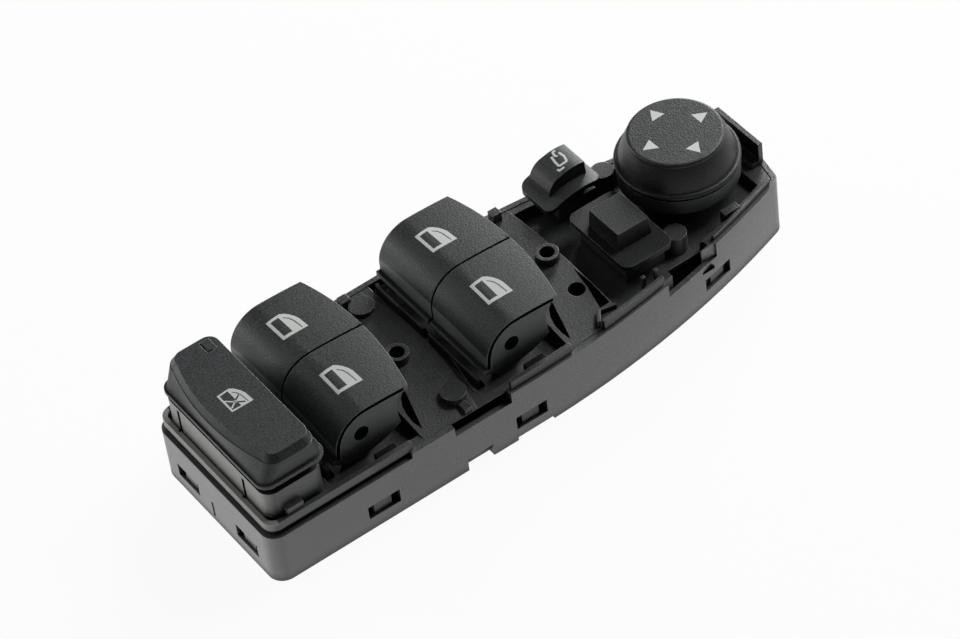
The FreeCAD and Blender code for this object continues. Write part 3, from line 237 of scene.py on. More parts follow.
def painted_steep_light(finish, shade, wall_light_and_shade, steep, ends):
    """Paints light and shade into steep faces by their lean. With ends, only at the left end, whose
    faces toward the left get a paler painted light.
    """
    lean = finish.apart(finish.add("ShaderNodeTexCoord").outputs["Normal"])
    level = finish.level(lean, "Z")
    # Steep faces get painted light on the rockers and housings, and painted shade on the mirror
    # buttons.
    upright = ((1 - level * level - steep) * (2.0 / (1 - steep))).kept()
    if ends is None:
        return finish.mix(upright, shade, wall_light_and_shade)
    upright = upright * past(finish.level(finish.apart(finish.place()), "X"), LEFT_END, -300)
    # Faces toward the left end get a paler painted light.
    leftward = (upright * (finish.level(lean, "X") * -1.8 - 0.6)).kept()
    return finish.mix(leftward, finish.mix(upright, shade, wall_light_and_shade), ends)


print("the left end begins at", LEFT_END, "mm")

# %% [markdown]
# ### Worn and highlighted edges, painted shade in gaps
#
# Moulded edges are never knife sharp, and hands and other parts polish them a little paler.
# A Bevel node rounds them in the shading alone, which keeps the imported shape, and where its
# normal differs from the flat one there is an edge. Its paler colour is part wear and part
# painted highlight. An Ambient Occlusion node finds the narrow gaps and paints shade into
# them, so the black there is deep and dull.

# %% The moulded plastic
# The near black of painted shade deep in gaps.
PAINTED_GAP_SHADE = paint(8, 8, 8)


def moulded(name, colour, worn_highlit, roughness, edge=0.28, wear_highlight=0.75, gap=4.0, shine=0.5, ior=1.5,
            wall_light_and_shade=None, steep=0.75, ends=None):
    """Grained plastic with paler edges, part wear and part painted highlight, and painted shade in its
    gaps. The radius of its edges and the width of its gaps are in mm.
    """
    plastic = Finish(name, colour, {"IOR": ior, "Specular IOR Level": shine})
    fine, broad = plastic.noise(GRAIN, detail=3.0), plastic.noise(CLOUD)
    shade = grain_colour(plastic, colour, fine, broad)
    if wall_light_and_shade:
        shade = painted_steep_light(plastic, shade, wall_light_and_shade, steep, ends)
    rounded = plastic.add("ShaderNodeBevel", {"samples": 6}, {"Radius": edge * MM}).outputs[0]
    flat = plastic.add("ShaderNodeNewGeometry").outputs["Normal"]
    facing = plastic.add("ShaderNodeVectorMath", {"operation": "DOT_PRODUCT"}, {0: rounded, 1: flat})
    # Paler edges: part wear, part painted highlight.
    rubbed_highlit = ((1 - plastic.level(facing, "Value")) * 4.0 * wear_highlight * (0.4 + broad)).kept()
    # Painted shade: narrow gaps darken to near black.
    occlusion = plastic.add("ShaderNodeAmbientOcclusion", {"samples": 6}, {"Distance": gap * MM})
    open_air = ((plastic.level(occlusion, "AO") - 0.45) * 2.2).kept()
    skin = plastic.mix(open_air, PAINTED_GAP_SHADE, plastic.mix(rubbed_highlit, shade, worn_highlit))
    plastic.feed(skin, plastic.shader.inputs["Base Color"])
    dull = roughness + (fine - 0.5) * 0.16 - rubbed_highlit * 0.08 + (1 - open_air) * 0.4
    plastic.feed(dull, plastic.shader.inputs["Roughness"])
    plastic.bump(fine, 0.9, GRAIN_DEPTH, rounded)
    return plastic


print("gaps go down to", [round(v, 4) for v in PAINTED_GAP_SHADE[:3]])

# %% [markdown]
# ### The plastics of the pack
#
# The rockers, the buttons and the two housings are different mouldings with different
# grain and gloss, so each group has its own plastic.

# %% Plastics
# Edge colours for both wear and a painted highlight.
button_worn_highlit, house_worn_highlit = paint(160, 164, 164), paint(140, 144, 144)
# Painted shade: the near black of the mirror buttons' sides, the knob's cone and the tab.
shade_near_black = paint(5, 5, 5)
button_plastic = moulded("button_plastic", paint(42, 46, 47), button_worn_highlit, 0.48, shine=0.7)
# Paler walls paint the light on the rockers' cheeks.
rocker_plastic = moulded("rocker_plastic", paint(42, 46, 47), button_worn_highlit, 0.48, shine=0.6,
                         wall_light_and_shade=paint(112, 116, 116), steep=0.96, gap=8.0)
# The mirror buttons and the knob get painted shade on their steep faces.
slider_plastic = moulded("slider_plastic", paint(20, 23, 24), button_worn_highlit, 0.5,
                         wall_light_and_shade=shade_near_black, steep=0.5)
fold_plastic = moulded("fold_plastic", paint(44, 48, 49), button_worn_highlit, 0.46, shine=0.7,
                       wall_light_and_shade=shade_near_black, steep=0.5)
knob_plastic = moulded("knob_plastic", paint(36, 40, 41), button_worn_highlit, 0.42, shine=0.55,
                       wall_light_and_shade=shade_near_black, steep=0.6)
# The housings' walls, and their faces at the left end, get painted light.
frame_plastic = moulded("frame_plastic", paint(42, 44, 44), house_worn_highlit, 0.4, shine=0.8, ior=1.55,
                        wall_light_and_shade=paint(80, 83, 82), ends=paint(168, 168, 164))
base_plastic = moulded("base_plastic", paint(64, 67, 67), house_worn_highlit, 0.32, shine=1.0, ior=1.65,
                       wall_light_and_shade=paint(68, 71, 71), ends=paint(118, 119, 117))
# Near black for the latch blocks: painted shade of their pocket.
latch_shade_plastic = moulded("latch_shade_plastic", paint(10, 10, 10), paint(70, 72, 72), 0.6, shine=0.2)
hidden_plastic = moulded("hidden_plastic", paint(30, 31, 31), paint(60, 62, 62), 0.5, edge=0.15)
plastics = (button_plastic, rocker_plastic, slider_plastic, fold_plastic, knob_plastic,
            frame_plastic, base_plastic, latch_shade_plastic, hidden_plastic)
print("plastics:", [plastic.material.name for plastic in plastics])

# %% [markdown]
# ### The tab and the ledge
#
# The thin tab at the right end stands in the shade of the knob and is black in the
# photograph, and the ledge under the collar at the left end shines pale. Both belong to
# one large moulding, so this painted shade and painted light are mixed into its colour by place.

# %% Tab and ledge
where = frame_plastic.apart(frame_plastic.place())
along, height = frame_plastic.level(where, "X"), frame_plastic.level(where, "Z")
on_tab = past(along, 92.5, 4000) * past(height, 22.2, 4000)
on_ledge = past(along, -94.5, -4000) * past(height, 22.4, 8000) * past(height, 23.4, -8000)
frame_colour = frame_plastic.shader.inputs["Base Color"].links[0].from_socket
with_tab_shade = frame_plastic.mix(on_tab, frame_colour, shade_near_black)
with_ledge_light = frame_plastic.mix(on_ledge, with_tab_shade, paint(150, 150, 147))
frame_plastic.feed(with_ledge_light, frame_plastic.shader.inputs["Base Color"])
print("the housing's colour now has", len(frame_plastic.tree.nodes), "nodes")

# %% [markdown]
# ## The inner parts
#
# Seen from below and through the gaps are the circuit board, the rubber mat with its
# contact domes, the plug housing and its pins. They are small, but each is a different
# stuff: green lacquer over glass cloth, matt rubber and tinned metal.

# %% Board, rubber and metal
board_finish = Finish("board_lacquer", paint(24, 78, 52), {"Roughness": 0.35, "IOR": 1.5})
weave = board_finish.noise(0.6, detail=1.0)
board_tone = board_finish.mix(weave, paint(18, 66, 44), paint(34, 94, 62))
board_finish.feed(board_tone, board_finish.shader.inputs["Base Color"])
board_finish.bump(weave, 0.3, 0.02)

rubber_finish = Finish("contact_rubber", paint(74, 76, 78), {"Roughness": 0.75, "IOR": 1.5})
dust = rubber_finish.noise(0.5, detail=3.0)
rubber_finish.feed(0.68 + dust * 0.15, rubber_finish.shader.inputs["Roughness"])
rubber_finish.bump(dust, 0.4, 0.02)

tin_finish = Finish("tinned_pins", paint(196, 194, 188), {"Roughness": 0.3, "Metallic": 1.0})
streaks = tin_finish.noise(0.4)
tin_finish.feed(0.24 + streaks * 0.18, tin_finish.shader.inputs["Roughness"])
tin_finish.bump(streaks, 0.2, 0.01)
print("inner finishes:", [f.material.name for f in (board_finish, rubber_finish, tin_finish)])

# %% [markdown]
# ### Who wears what
#
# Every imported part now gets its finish, so that no part is left in plain grey.

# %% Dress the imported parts
rocker_plastic.dress(*(parts[n] for n in parts if n.endswith("_rocker")))
button_plastic.dress(parts["child_lock_button"], parts["child_lock_lens"],
                     parts["mirror_knob_skirt"])
knob_plastic.dress(parts["mirror_knob"])
slider_plastic.dress(parts["mirror_select_slider"])
fold_plastic.dress(parts["mirror_fold_button"])
frame_plastic.dress(parts["upper_housing"])
base_plastic.dress(parts["lower_housing"])
plungers = [parts[n] for n in parts if n.endswith("_plunger")]
hidden_plastic.dress(*plungers, parts["gimbal_ring"], parts["connector_header"])
board_finish.dress(parts["circuit_board"])
rubber_finish.dress(parts["contact_mat"])
tin_finish.dress(parts["terminal_pins"])
print("dressed:", sum(1 for p in parts.values() if len(p.data.materials) == 1), "parts")

# %% [markdown]
# ## Printed signs
#
# The white signs are pad printed: a film of ink a few hundredths of a millimetre thick
# that follows the curve of the button. A flat plate would cut into the crown or float over
# it, so each sign starts as a flat outline, is cut into small faces and then dropped onto
# the surface below it by casting a ray at every point.

# %% Drop an outline onto a part
ABOVE = 60.0
surfaces = {}


def surface_of(part):
    if part not in surfaces:
        surfaces[part] = BVHTree.FromObject(parts[part], bpy.context.evaluated_depsgraph_get())
    return surfaces[part]


def drop(part, x, y):
    """The height in mm of a part's upper surface at x, y in mm."""
    hit = surface_of(part).ray_cast(Vector((x, y, ABOVE)) * MM, Vector((0, 0, -1)))
    return hit[0].z / MM if hit[0] else None


print("a ray from above finds the crown of a rocker at", drop("front_left_rocker", -7.0, 17.0))

# %% [markdown]
# Every new piece ends the same way: its mesh becomes an object, gets its finish, and is
# told which body it moves with and which colour slot it belongs to.

# %% From mesh to finished piece
def settle(name, mesh, finish, body, soft=0.0):
    """Turns a mesh into a dressed piece that moves with a body. Soft is the width of a bevel in mm."""
    data = bpy.data.meshes.new(name)
    mesh.to_mesh(data)
    mesh.free()
    piece = bpy.data.objects.new(name, data)
    bpy.context.scene.collection.objects.link(piece)
    if soft:
        bevel = piece.modifiers.new("soft_edges", "BEVEL")
        bevel.width = soft * MM
        bevel.segments = 2
        bevel.limit_method = "ANGLE"
    finish.dress(piece)
    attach(piece, body)
    return piece


print("pieces end in settle")

# %% [markdown]
# A flat outline can have holes, such as the dark pane of a window sign. It is cut into
# triangles, these are cut again until no edge is longer than `fine`, and then every corner
# drops onto the part and keeps the thickness of the film above it.

# %% Print a sign
def printed(name, shapes, part, body, finish, film=0.03, fine=0.7):
    """Lays shapes in mm on a part. The first outline of a shape is its edge, the rest are holes."""
    mesh = bmesh.new()
    for outlines in shapes:
        flat = [[Vector((x, y, 0)) for x, y in outline] for outline in outlines]
        corners = [mesh.verts.new(corner) for outline in flat for corner in outline]
        for triangle in tessellate_polygon(flat):
            mesh.faces.new([corners[i] for i in triangle])
    bmesh.ops.remove_doubles(mesh, verts=mesh.verts, dist=1e-4)
    bmesh.ops.recalc_face_normals(mesh, faces=mesh.faces)
    for _ in range(4):
        long_edges = [e for e in mesh.edges if e.calc_length() > fine]
        if not long_edges:
            break
        bmesh.ops.subdivide_edges(mesh, edges=long_edges, cuts=1)
        bmesh.ops.triangulate(mesh, faces=mesh.faces)
    for vert in mesh.verts:
        x, y = vert.co.x, vert.co.y
        vert.co = Vector((x, y, drop(part, x, y) + film)) * MM
    for face in mesh.faces:
        if face.normal.z < 0:
            face.normal_flip()
        face.smooth = True
    return settle(name, mesh, finish, body)


print("signs follow the surface, as ink does")

# %% [markdown]
# The ink is a soft white, a little duller than paper, with a faint grain of its own.

# %% White ink
ink = Finish("white_ink", paint(214, 216, 214), {"Roughness": 0.5, "IOR": 1.45})
ink_grain = ink.noise(0.35)
ink_tone = ink.mix(ink_grain, paint(202, 205, 203), paint(226, 228, 225))
ink.feed(ink_tone, ink.shader.inputs["Base Color"])
ink.bump(ink_grain, 0.4, 0.01)
print("ink:", ink.material.name)

# %% [markdown]
# ### The window sign
#
# The sign on each rocker is a car window seen from the side: a frame with a slanted front
# pillar, dark behind the pillar and white in front of it. It is the same sign four times,
# and smaller and crossed out on the child lock.

# %% Window signs on the rockers
PIVOTS = {"rear": -59.8, "front": -7.0}
ROWS = {"left": 17.15, "right": -10.25}
WINDOW_EDGE = [(-0.9, 5.0), (4.1, 5.35), (5.2, 4.55), (6.2, 3.25), (7.0, 1.7), (7.5, 0.1),
               (7.75, -4.5), (-0.85, -4.4)]
WINDOW_PANE = [(0.15, 3.95), (3.05, 4.25), (3.1, -3.3), (0.15, -3.25)]
WINDOW_LINE = [(4.15, 3.45), (5.35, 2.05), (5.95, 0.3), (6.15, -1.8), (6.3, -3.75),
               (6.0, -3.75), (5.8, -1.8), (5.6, 0.2), (5.05, 1.85), (4.0, 3.15)]


def moved(outline, x, y, scale=1.0):
    return [(x + scale * u, y + scale * w) for u, w in outline]


for pair, pivot in PIVOTS.items():
    for hand, row in ROWS.items():
        rocker = f"{pair}_{hand}_rocker"
        outlines = [moved(o, pivot, row) for o in (WINDOW_EDGE, WINDOW_PANE, WINDOW_LINE)]
        sign = printed(f"{pair}_{hand}_window_sign", [outlines], rocker, rocker, ink)
        print(sign.name, "has", len(sign.data.polygons), "faces")

# %% [markdown]
# ### Arrows on the mirror knob
#
# Four solid triangles point out from the middle of the knob, one for each way that the
# mirror glass can tilt.

# %% Arrows on the knob
KNOB = (74.9, 4.5)
ARROW = [(0.0, 12.15), (2.3, 8.0), (-2.45, 7.9)]
arrow_outlines = []
for quarter in range(4):
    turn = Matrix.Rotation(math.radians(90 * quarter), 2)
    arrow = [turn @ Vector(corner) for corner in ARROW]
    arrow_outlines.append([moved([(c.x, c.y) for c in arrow], *KNOB)])
arrows = printed("mirror_arrows", arrow_outlines, "mirror_knob", "mirror_knob", ink)
print("arrows:", len(arrow_outlines), "faces:", len(arrows.data.polygons))

# %% [markdown]
# ### The fold sign
#
# The mirror-fold button carries a line drawing: a mirror housing with a bent arrow. A line
# in print is a ribbon of even width, so a helper widens a path to both sides.

# %% Ribbons for line signs
def ribbon(path, width):
    """The outline of a line of even width along a path, with flat ends."""
    points = [Vector(p) for p in path]
    runs = [(end - start).normalized() for start, end in zip(points, points[1:])]
    left, right = [], []
    for point, before, after in zip(points, runs[:1] + runs, runs + runs[-1:]):
        along = (before + after).normalized()
        side = Vector((-along.y, along.x))
        reach = width / 2 / max(0.35, side.dot(Vector((-before.y, before.x))))
        left.append(tuple(point + side * reach))
        right.append(tuple(point - side * reach))
    return left + right[::-1]


FOLD_LINES = [
    [(44.9, 26.8), (44.5, 24.6), (44.35, 22.5), (44.6, 22.1), (47.0, 22.1), (47.4, 22.6),
     (47.9, 24.5), (47.6, 26.7)],
    [(47.3, 28.0), (46.5, 28.1), (46.1, 27.5), (45.9, 26.3), (46.4, 25.7)],
    [(43.2, 21.6), (43.5, 20.7), (45.2, 20.7)],
]
FOLD_WIDTH = 0.75
fold_sign = printed("mirror_fold_sign", [[ribbon(line, FOLD_WIDTH)] for line in FOLD_LINES],
                    "mirror_fold_button", "mirror_fold_button", ink, fine=0.5)
print("fold sign faces:", len(fold_sign.data.polygons))

# %% [markdown]
# ### The crossed window on the child lock
#
# The child lock's sign is the window again, smaller, with a cross over its pillar. The
# cross is white on the dark side and dark on the white side.

# %% Crossed window sign
LOCK_SIGN, LOCK_SCALE, STROKE = (-89.05, -2.15), 0.84, 0.5
LOCK_PANE = [(-0.15, 4.25), (3.2, 4.55), (3.25, -3.75), (-0.15, -3.7)]
WHITE_STROKES = [[(-89.2, -1.0), (-86.45, -3.5)], [(-89.0, -4.6), (-86.45, -2.6)]]
DARK_STROKES = [[(-86.45, -3.5), (-84.6, -4.9)], [(-86.45, -2.6), (-84.7, -1.5)]]


def on_lock(name, shapes, finish, film):
    """Prints on the child-lock button."""
    sign = printed(name, shapes, "child_lock_button", "child_lock_button", finish, film)
    print(name, "has", len(sign.data.polygons), "faces")


outlines = [moved(o, *LOCK_SIGN, LOCK_SCALE) for o in (WINDOW_EDGE, LOCK_PANE, WINDOW_LINE)]
on_lock("child_lock_sign", [outlines], ink, 0.03)
on_lock("child_lock_cross", [[ribbon(s, STROKE)] for s in WHITE_STROKES], ink, 0.035)
on_lock("child_lock_cross_dark", [[ribbon(s, STROKE)] for s in DARK_STROKES], button_plastic, 0.06)

# %% [markdown]
# ### The mark on the child lock's lens
#
# A small lens in the far corner of the child lock lights up when the rear windows are
# locked. In the photograph two of its edges show as a dark corner, so a thin dark line
# is laid along them.

# %% Lens mark
# Matt black that paints shade into holes, gaps and dark corners.
painted_shade_black = moulded("painted_shade_black", paint(4, 4, 4), PAINTED_GAP_SHADE, 0.9, edge=0.1, wear_highlight=0.1, shine=0.0)
LENS_LINE = [(-82.1, 22.3), (-82.1, 18.2), (-80.6, 18.2)]
lens_mark = printed("lens_mark", [[ribbon(LENS_LINE, 0.4)]], "child_lock_lens", "child_lock_button",
                    painted_shade_black, film=0.04)
print("lens mark faces:", len(lens_mark.data.polygons))

# %% [markdown]
# ## Small moulded details
#
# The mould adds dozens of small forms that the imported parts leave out: rails, ribs, clips
# and cut-outs. Each is an upright prism: an outline seen from above with a lower and an
# upper level. A helper collects the prisms of one group in one mesh, and a Bevel modifier
# softens it, because a moulded edge is never sharp.

# %% Prisms for moulded details
def solid_piece(name, prisms, finish, soft=0.12):
    """Joins upright prisms in mm, each (outline, low, high), into one piece of the housing."""
    mesh = bmesh.new()
    for outline, low, high in prisms:
        foot = [mesh.verts.new(Vector((x, y, low)) * MM) for x, y in outline]
        head = [mesh.verts.new(Vector((x, y, high)) * MM) for x, y in outline]
        mesh.faces.new(foot[::-1])
        mesh.faces.new(head)
        for i, start in enumerate(foot):
            j = (i + 1) % len(foot)
            mesh.faces.new([start, foot[j], head[j], head[i]])
    bmesh.ops.recalc_face_normals(mesh, faces=mesh.faces)
    return settle(name, mesh, finish, "housing", soft)


def box(x0, x1, y0, y1, low, high):
    return ([(x0, y0), (x1, y0), (x1, y1), (x0, y1)], low, high)


print("details are prisms with softened edges")

# %% [markdown]
# ### Rails along the near edge
#
# The trim of the door rests on a thin rail that follows the near edge of the deck. It is
# straight as far as the front pair and then bends inwards on a very large circle. The rail
# stops at the finger notch and goes on behind it.

# %% Rails
BEND_START, BEND_RADIUS, NEAR_EDGE = -7.0, 325.0, -32.5


def near_edge(x, inset=0.0):
    run = max(0.0, x - BEND_START)
    return NEAR_EDGE + inset + BEND_RADIUS - math.sqrt(BEND_RADIUS ** 2 - run ** 2)


def rail(x0, x1, inset, width, low, high, steps=8):
    """A prism that follows the near edge from x0 to x1."""
    places = [x0 + (x1 - x0) * i / steps for i in range(steps + 1)]
    outer = [(x, near_edge(x, inset)) for x in places]
    inner = [(x, near_edge(x, inset + width)) for x in places]
    return (outer + inner[::-1], low, high)


near_rails = solid_piece("near_rails", [
    rail(20.5, 44.6, 0.9, 1.5, 20.4, 23.4), rail(20.5, 44.6, 2.0, 0.6, 19.6, 22.0),
    rail(66.6, 94.0, 1.3, 1.3, 20.3, 21.8), rail(66.6, 94.0, 2.1, 0.6, 19.6, 21.4),
], frame_plastic)
print("rails have", len(near_rails.data.vertices), "corners and end at", round(near_edge(94.0), 1))

# %% [markdown]
# ### Clips and pits
#
# Beside the near rail stands a bent clip for the trim. Behind each rocker's lip the deck is
# cut by a lens-shaped slit, where a slide in the mould formed the hook below, and a
# triangular pit marks the step down to the mirror deck. A slit is a hole in the real deck.
# Here it is an outline in matt black laid on the surface, painted shade that reads the same
# from outside.

# %% Clip, slits and pits
clip = solid_piece("trim_clip", [
    ([(19.3, -28.2), (20.5, -28.6), (23.3, -24.6), (22.4, -23.9)], 19.6, 22.6),
    ([(22.4, -23.9), (23.0, -24.8), (28.2, -26.0), (28.2, -25.0)], 19.6, 22.2),
], frame_plastic)

SLIT = [(15.0, -11.9), (12.4, -14.0), (10.9, -16.8), (10.1, -20.0), (10.0, -23.4), (10.7, -26.8),
        (12.2, -21.6)]
REAR_SLIT = moved(SLIT, -53.0, 0.0)
PIT = [(27.6, -5.5), (26.2, -14.6), (24.4, -22.8), (27.9, -22.8), (28.1, -14.0)]
pits = printed("deck_slits", [[SLIT], [REAR_SLIT], [PIT]], "upper_housing", "housing", painted_shade_black,
               fine=1.2)
print("clip corners:", len(clip.data.vertices), "slit and pit faces:", len(pits.data.polygons))

# %% [markdown]
# ### Deep pivot holes
#
# From the side you look through the pivot hole of a rocker at the end of its trunnion. In
# the photograph no light gets in, so the end of each trunnion gets a matt black disc.

# %% Discs on the trunnions
PIVOT_HEIGHT, PIVOT_DISC = 28.0, 2.35
TRUNNION_ENDS = {"near": (-21.53, -21.45), "far": (28.35, 28.43)}


def disc_y(name, x, y0, y1):
    """A thin drum about a pivot's axis, which runs along Y."""
    mesh = bmesh.new()
    lying = Matrix.Rotation(math.radians(90), 4, "X")
    bmesh.ops.create_cone(mesh, cap_ends=True, segments=32, radius1=PIVOT_DISC * MM,
                          radius2=PIVOT_DISC * MM, depth=(y1 - y0) * MM, matrix=lying)
    middle = Vector((x, (y0 + y1) / 2, PIVOT_HEIGHT)) * MM
    bmesh.ops.translate(mesh, verts=mesh.verts, vec=middle)
    return settle(name, mesh, painted_shade_black, "housing")


for pair, pivot in PIVOTS.items():
    for side, ends in TRUNNION_ENDS.items():
        print("disc", disc_y(f"{pair}_{side}_pivot_end", pivot, *ends).name)

# %% [markdown]
# ### The painted shade along a rocker's skin
#
# The skin of a rocker overhangs its cheek, and a dark line of shade follows the edge between
# them. The line is painted shade: a thin strip on the side of the skin. Its course comes from
# the skin itself: rays from above find the top, and a small inset is taken off at right
# angles to it.

# %% Lines along the skins
SKIN_SIDE, INSET = -23.55, 0.3
LINE_WIDTH, LINE_DEPTH = 1.1, 0.04
LINE_START, LINE_STEP, LINE_POINTS = 16.0, 0.6, 45


def skin_shade_line(rocker, pivot):
    """A strip of painted shade on the near side of a rocker's skin, just below its edge."""
    places = [pivot + LINE_START - LINE_STEP * i for i in range(LINE_POINTS)]
    top = [Vector((x, drop(rocker, x, SKIN_SIDE + 0.3))) for x in places]
    course = []
    for before, point, after in zip(top, top[1:], top[2:]):
        along = (after - before).normalized()
        course.append(tuple(point + Vector((-along.y, along.x)) * (INSET + LINE_WIDTH / 2)))
    mesh = bmesh.new()
    outline = [Vector((x, SKIN_SIDE, z)) * MM for x, z in ribbon(course, LINE_WIDTH)]
    face = mesh.faces.new([mesh.verts.new(corner) for corner in outline])
    grown = bmesh.ops.extrude_face_region(mesh, geom=[face])["geom"]
    front = [v for v in grown if isinstance(v, bmesh.types.BMVert)]
    bmesh.ops.translate(mesh, verts=front, vec=(0, -LINE_DEPTH * MM, 0))
    bmesh.ops.recalc_face_normals(mesh, faces=mesh.faces)
    return settle(rocker + "_line", mesh, painted_shade_black, rocker)


for pair, pivot in PIVOTS.items():
    line = skin_shade_line(f"{pair}_right_rocker", pivot)
    print(line.name, "has", len(line.data.vertices), "corners")

# %% [markdown]
# ### The ridge in the valley
#
# Between the pairs the deck steps down along a wide curve. Its corner catches the light as
# one thin line, so a low rail with softened edges follows the curve. The rail's paler plastic
# is a painted highlight.

# %% Ridge
RIDGE = [(-19.4, 14.0), (-18.7, 9.7), (-18.4, 4.1), (-18.8, -2.5), (-19.6, -9.6), (-21.2, -17.7),
         (-22.4, -24.4)]
ridge_highlight_plastic = moulded("ridge_highlight_plastic", paint(88, 91, 91), paint(150, 152, 152), 0.4)
ridge = solid_piece("valley_ridge", [(ribbon(RIDGE, 0.5), 19.6, 20.05)], ridge_highlight_plastic)
print("ridge corners:", len(ridge.data.vertices))

# %% [markdown]
# ### Slots, latches and the dark floor of the finger notch
#
# The collar has two slots where the tool was split. A latch block stands beside the near
# rocker of each pair, near black with the painted shade of the pocket it stands in, and a thin
# rail runs along the foot of every rocker. The deep places get a matt black lining, because
# the camera sees no light come back from them.

# %% Slots and latches
COLLAR_SLOTS = {16.45: 21.4, -16.85: 20.9}
ROCKER_FEET = ((-22.6, 2.4), (4.6, 29.0))
slots = [box(-96.04, -95.4, y - 0.6, y + 0.6, low, low + 9.4) for y, low in COLLAR_SLOTS.items()]
linings = solid_piece("dark_linings", [
    *slots,
    box(48.9, 64.1, -25.6, -20.4, 12.6, 13.4),
    box(48.9, 64.1, -20.38, -20.3, 13.4, 16.2),
    box(-34.9, -15.3, -30.62, -30.5, 16.6, 19.7),
], painted_shade_black, soft=0)
# The latch blocks' near black is painted shade.
latches = solid_piece("latch_blocks", [
    box(pivot + 0.8, pivot + 7.8, -28.7, -26.4, 17.6, 21.4) for pivot in PIVOTS.values()
], latch_shade_plastic)
feet = [(pivot, *foot) for pivot in PIVOTS.values() for foot in ROCKER_FEET]
foot_rails = solid_piece("foot_rails", [
    box(pivot - 12.7, pivot - 11.9, near, far, 17.2, 20.9) for pivot, near, far in feet
], frame_plastic)
foot_gaps = solid_piece("foot_gaps", [
    box(pivot - 11.85, pivot - 10.6, near, far, 17.22, 18.2) for pivot, near, far in feet
], painted_shade_black, soft=0)
for piece in (linings, latches, foot_rails, foot_gaps):
    print(piece.name, "has", len(piece.data.vertices), "corners")

# %% [markdown]
# ### The hook in the third snap window
#
# Each snap window of the tub shows the end of a hook of the deck in its dark opening. The
# third window sits where the near wall bends, so its hook follows the same curve.

# %% Third hook
bend_hook = solid_piece("bend_hook", [
    rail(63.4, 69.2, 0.9, 0.7, 5.4, 8.6), rail(61.0, 71.2, 1.95, 0.05, 4.7, 9.3),
], frame_plastic)
print("hook with", len(bend_hook.data.vertices), "corners at", round(near_edge(66.3), 1))

# %% [markdown]
# ## The table
#
# The product lies on a white table that runs into a white wall, so its own shadow is the
# only mark behind it. The camera sees plain white, and the little light that the part keeps
# off the table still shows as a soft shadow. The plastic mirrors the table as well: in the
# photograph the end wall is much brighter than the near wall, so the mirrored table is
# dimmer in front of the part.

# %% White table
TABLE, FRONT_DIM, PART_FRONT = 3.0, 0.75, -36.0
corners = [(-TABLE, -TABLE, 0), (TABLE, -TABLE, 0), (TABLE, TABLE, 0), (-TABLE, TABLE, 0)]
floor_mesh = bpy.data.meshes.new("table")
floor_mesh.from_pydata(corners, [], [(0, 1, 2, 3)])
floor = bpy.data.objects.new("table", floor_mesh)
bpy.context.scene.collection.objects.link(floor)
table_finish = Finish("table_white", paint(246, 246, 246), {"Roughness": 0.9})
path = table_finish.add("ShaderNodeLightPath")
by_camera, by_mirror = (table_finish.level(path, ray) for ray in ("Is Camera Ray", "Is Glossy Ray"))
behind = past(table_finish.level(table_finish.apart(table_finish.place()), "Y"), PART_FRONT, 80)
mirrored = FRONT_DIM + behind * 0.22
glow = by_camera + (1 - by_camera) * mirrored
glow_colour = table_finish.mix(glow, paint(0, 0, 0), paint(255, 255, 255))
bright = table_finish.add("ShaderNodeEmission", None, {"Color": glow_colour})
seen = (by_camera * 0.94 + by_mirror).kept()
surfaces_mixed = table_finish.add("ShaderNodeMixShader", None, {
    0: seen, 1: table_finish.shader.outputs[0], 2: bright.outputs[0]})
table_finish.feed(surfaces_mixed.outputs[0], table_finish.output.inputs["Surface"])
table_finish.dress(floor)
print("table reaches", TABLE, "m each way")

# %% [markdown]
# ## Light
#
# The photograph has deep black gaps and bright end walls, so the light has to be one-sided.
# The main lamps stand on the right and behind, so that the rockers and the knob throw their
# shadows over the deck. Weaker lamps behind and on the left draw the rims. The world adds
# almost nothing. The bright end walls mirror the white table, and painted light in the
# housings' colour brightens them further.

# %% Lamps and world
world = bpy.data.worlds.new("studio")
bpy.context.scene.world = world
world.use_nodes = True
sky = world.node_tree
sky_light = sky.nodes["Background"]
sky_light.inputs["Color"].default_value = (1, 1, 1, 1)
sky_light.inputs["Strength"].default_value = 0.03
white_sky = sky.nodes.new("ShaderNodeBackground")
white_sky.inputs["Color"].default_value = (1, 1, 1, 1)
sky_path = sky.nodes.new("ShaderNodeLightPath")
sky_mix = sky.nodes.new("ShaderNodeMixShader")
sky.links.new(sky_path.outputs["Is Camera Ray"], sky_mix.inputs[0])
sky.links.new(sky_light.outputs[0], sky_mix.inputs[1])
sky.links.new(white_sky.outputs[0], sky_mix.inputs[2])
sky.links.new(sky_mix.outputs[0], sky.nodes["World Output"].inputs["Surface"])
LAMP_AIM = Vector((0.0, 0.0, 0.02))


def soft_lamp(name, place, size, watts):
    lamp = bpy.data.lights.new(name, "AREA")
    lamp.shape = "DISK"
    lamp.size = size
    lamp.energy = watts
    stand = bpy.data.objects.new(name, lamp)
    stand.location = place
    stand.rotation_mode = "QUATERNION"
    stand.rotation_quaternion = (LAMP_AIM - Vector(place)).to_track_quat("-Z", "Y")
    bpy.context.scene.collection.objects.link(stand)
    return stand


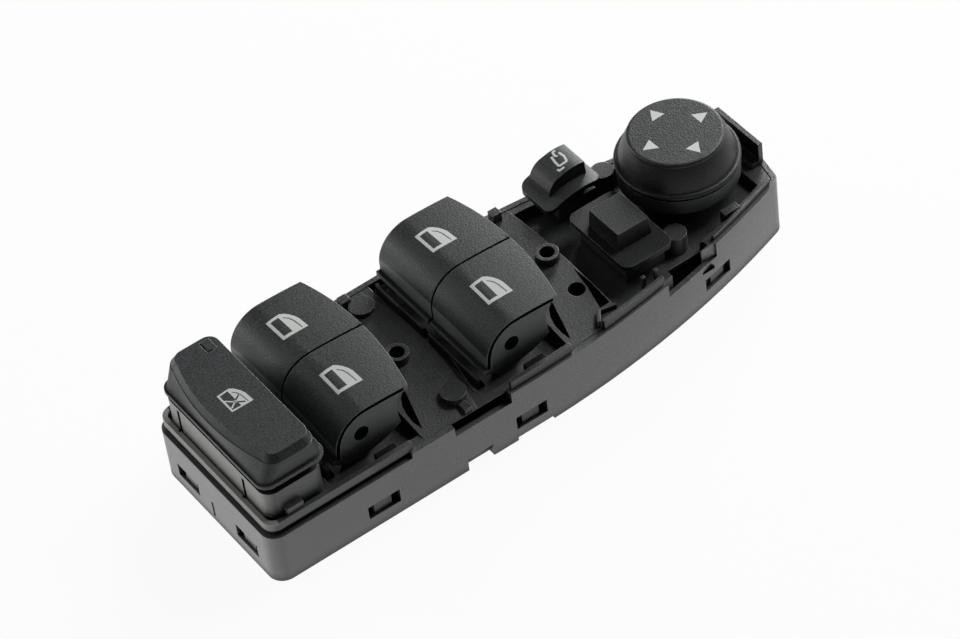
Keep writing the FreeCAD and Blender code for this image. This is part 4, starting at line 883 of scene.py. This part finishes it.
lamps = [
    soft_lamp("key_lamp", (0.8, 0.0, 0.95), 0.5, 6.5),
    soft_lamp("key_side_lamp", (0.95, 0.75, 0.5), 0.5, 9.5),
    soft_lamp("low_side_lamp", (1.2, 0.0, 0.5), 0.5, 3.5),
    soft_lamp("back_lamp", (-0.5, 0.6, 0.9), 0.5, 1.2),
    soft_lamp("rim_lamp", (-0.7, 1.05, 0.15), 0.4, 3.5),
    soft_lamp("left_lamp", (-1.2, 0.1, 0.3), 0.5, 0.8),
]
print("lamps in watts:", {lamp.name: lamp.data.energy for lamp in lamps})

# %% [markdown]
# ## The camera
#
# The photograph was taken from the front left, about 46 degrees up, with a long lens and
# the camera rolled by eight degrees. Its place was worked out from points of the part
# whose positions are known, so it is written as angles, a distance and a small offset.

# %% Camera
AZIMUTH, ELEVATION, ROLL = (math.radians(a) for a in (-30.2, 45.9, 8.11))
AIM = Vector((74.9, 4.5, 40.0))
ASIDE, RISE, DISTANCE = 57.68, 55.65, 1209.0
FOCAL_PIXELS, PICTURE_WIDTH, SENSOR = 4090, 960, 36
back = Vector((math.sin(AZIMUTH) * math.cos(ELEVATION), -math.cos(AZIMUTH) * math.cos(ELEVATION),
               math.sin(ELEVATION)))
level_right = Vector((math.cos(AZIMUTH), math.sin(AZIMUTH), 0))
level_up = back.cross(level_right)
right = math.cos(ROLL) * level_right - math.sin(ROLL) * level_up
up = math.sin(ROLL) * level_right + math.cos(ROLL) * level_up
camera_data = bpy.data.cameras.new("camera")
camera_data.sensor_width = SENSOR
camera_data.lens = FOCAL_PIXELS / PICTURE_WIDTH * SENSOR
camera_data.clip_start, camera_data.clip_end = 0.05, 20
camera = bpy.data.objects.new("camera", camera_data)
place = (AIM - ASIDE * right - RISE * up + DISTANCE * back) * MM
camera.matrix_world = Matrix.Translation(place) @ Matrix((right, up, back)).transposed().to_4x4()
bpy.context.scene.collection.objects.link(camera)
bpy.context.scene.camera = camera
bpy.context.scene.view_settings.view_transform = "Standard"
print("camera at", [round(v, 3) for v in place])
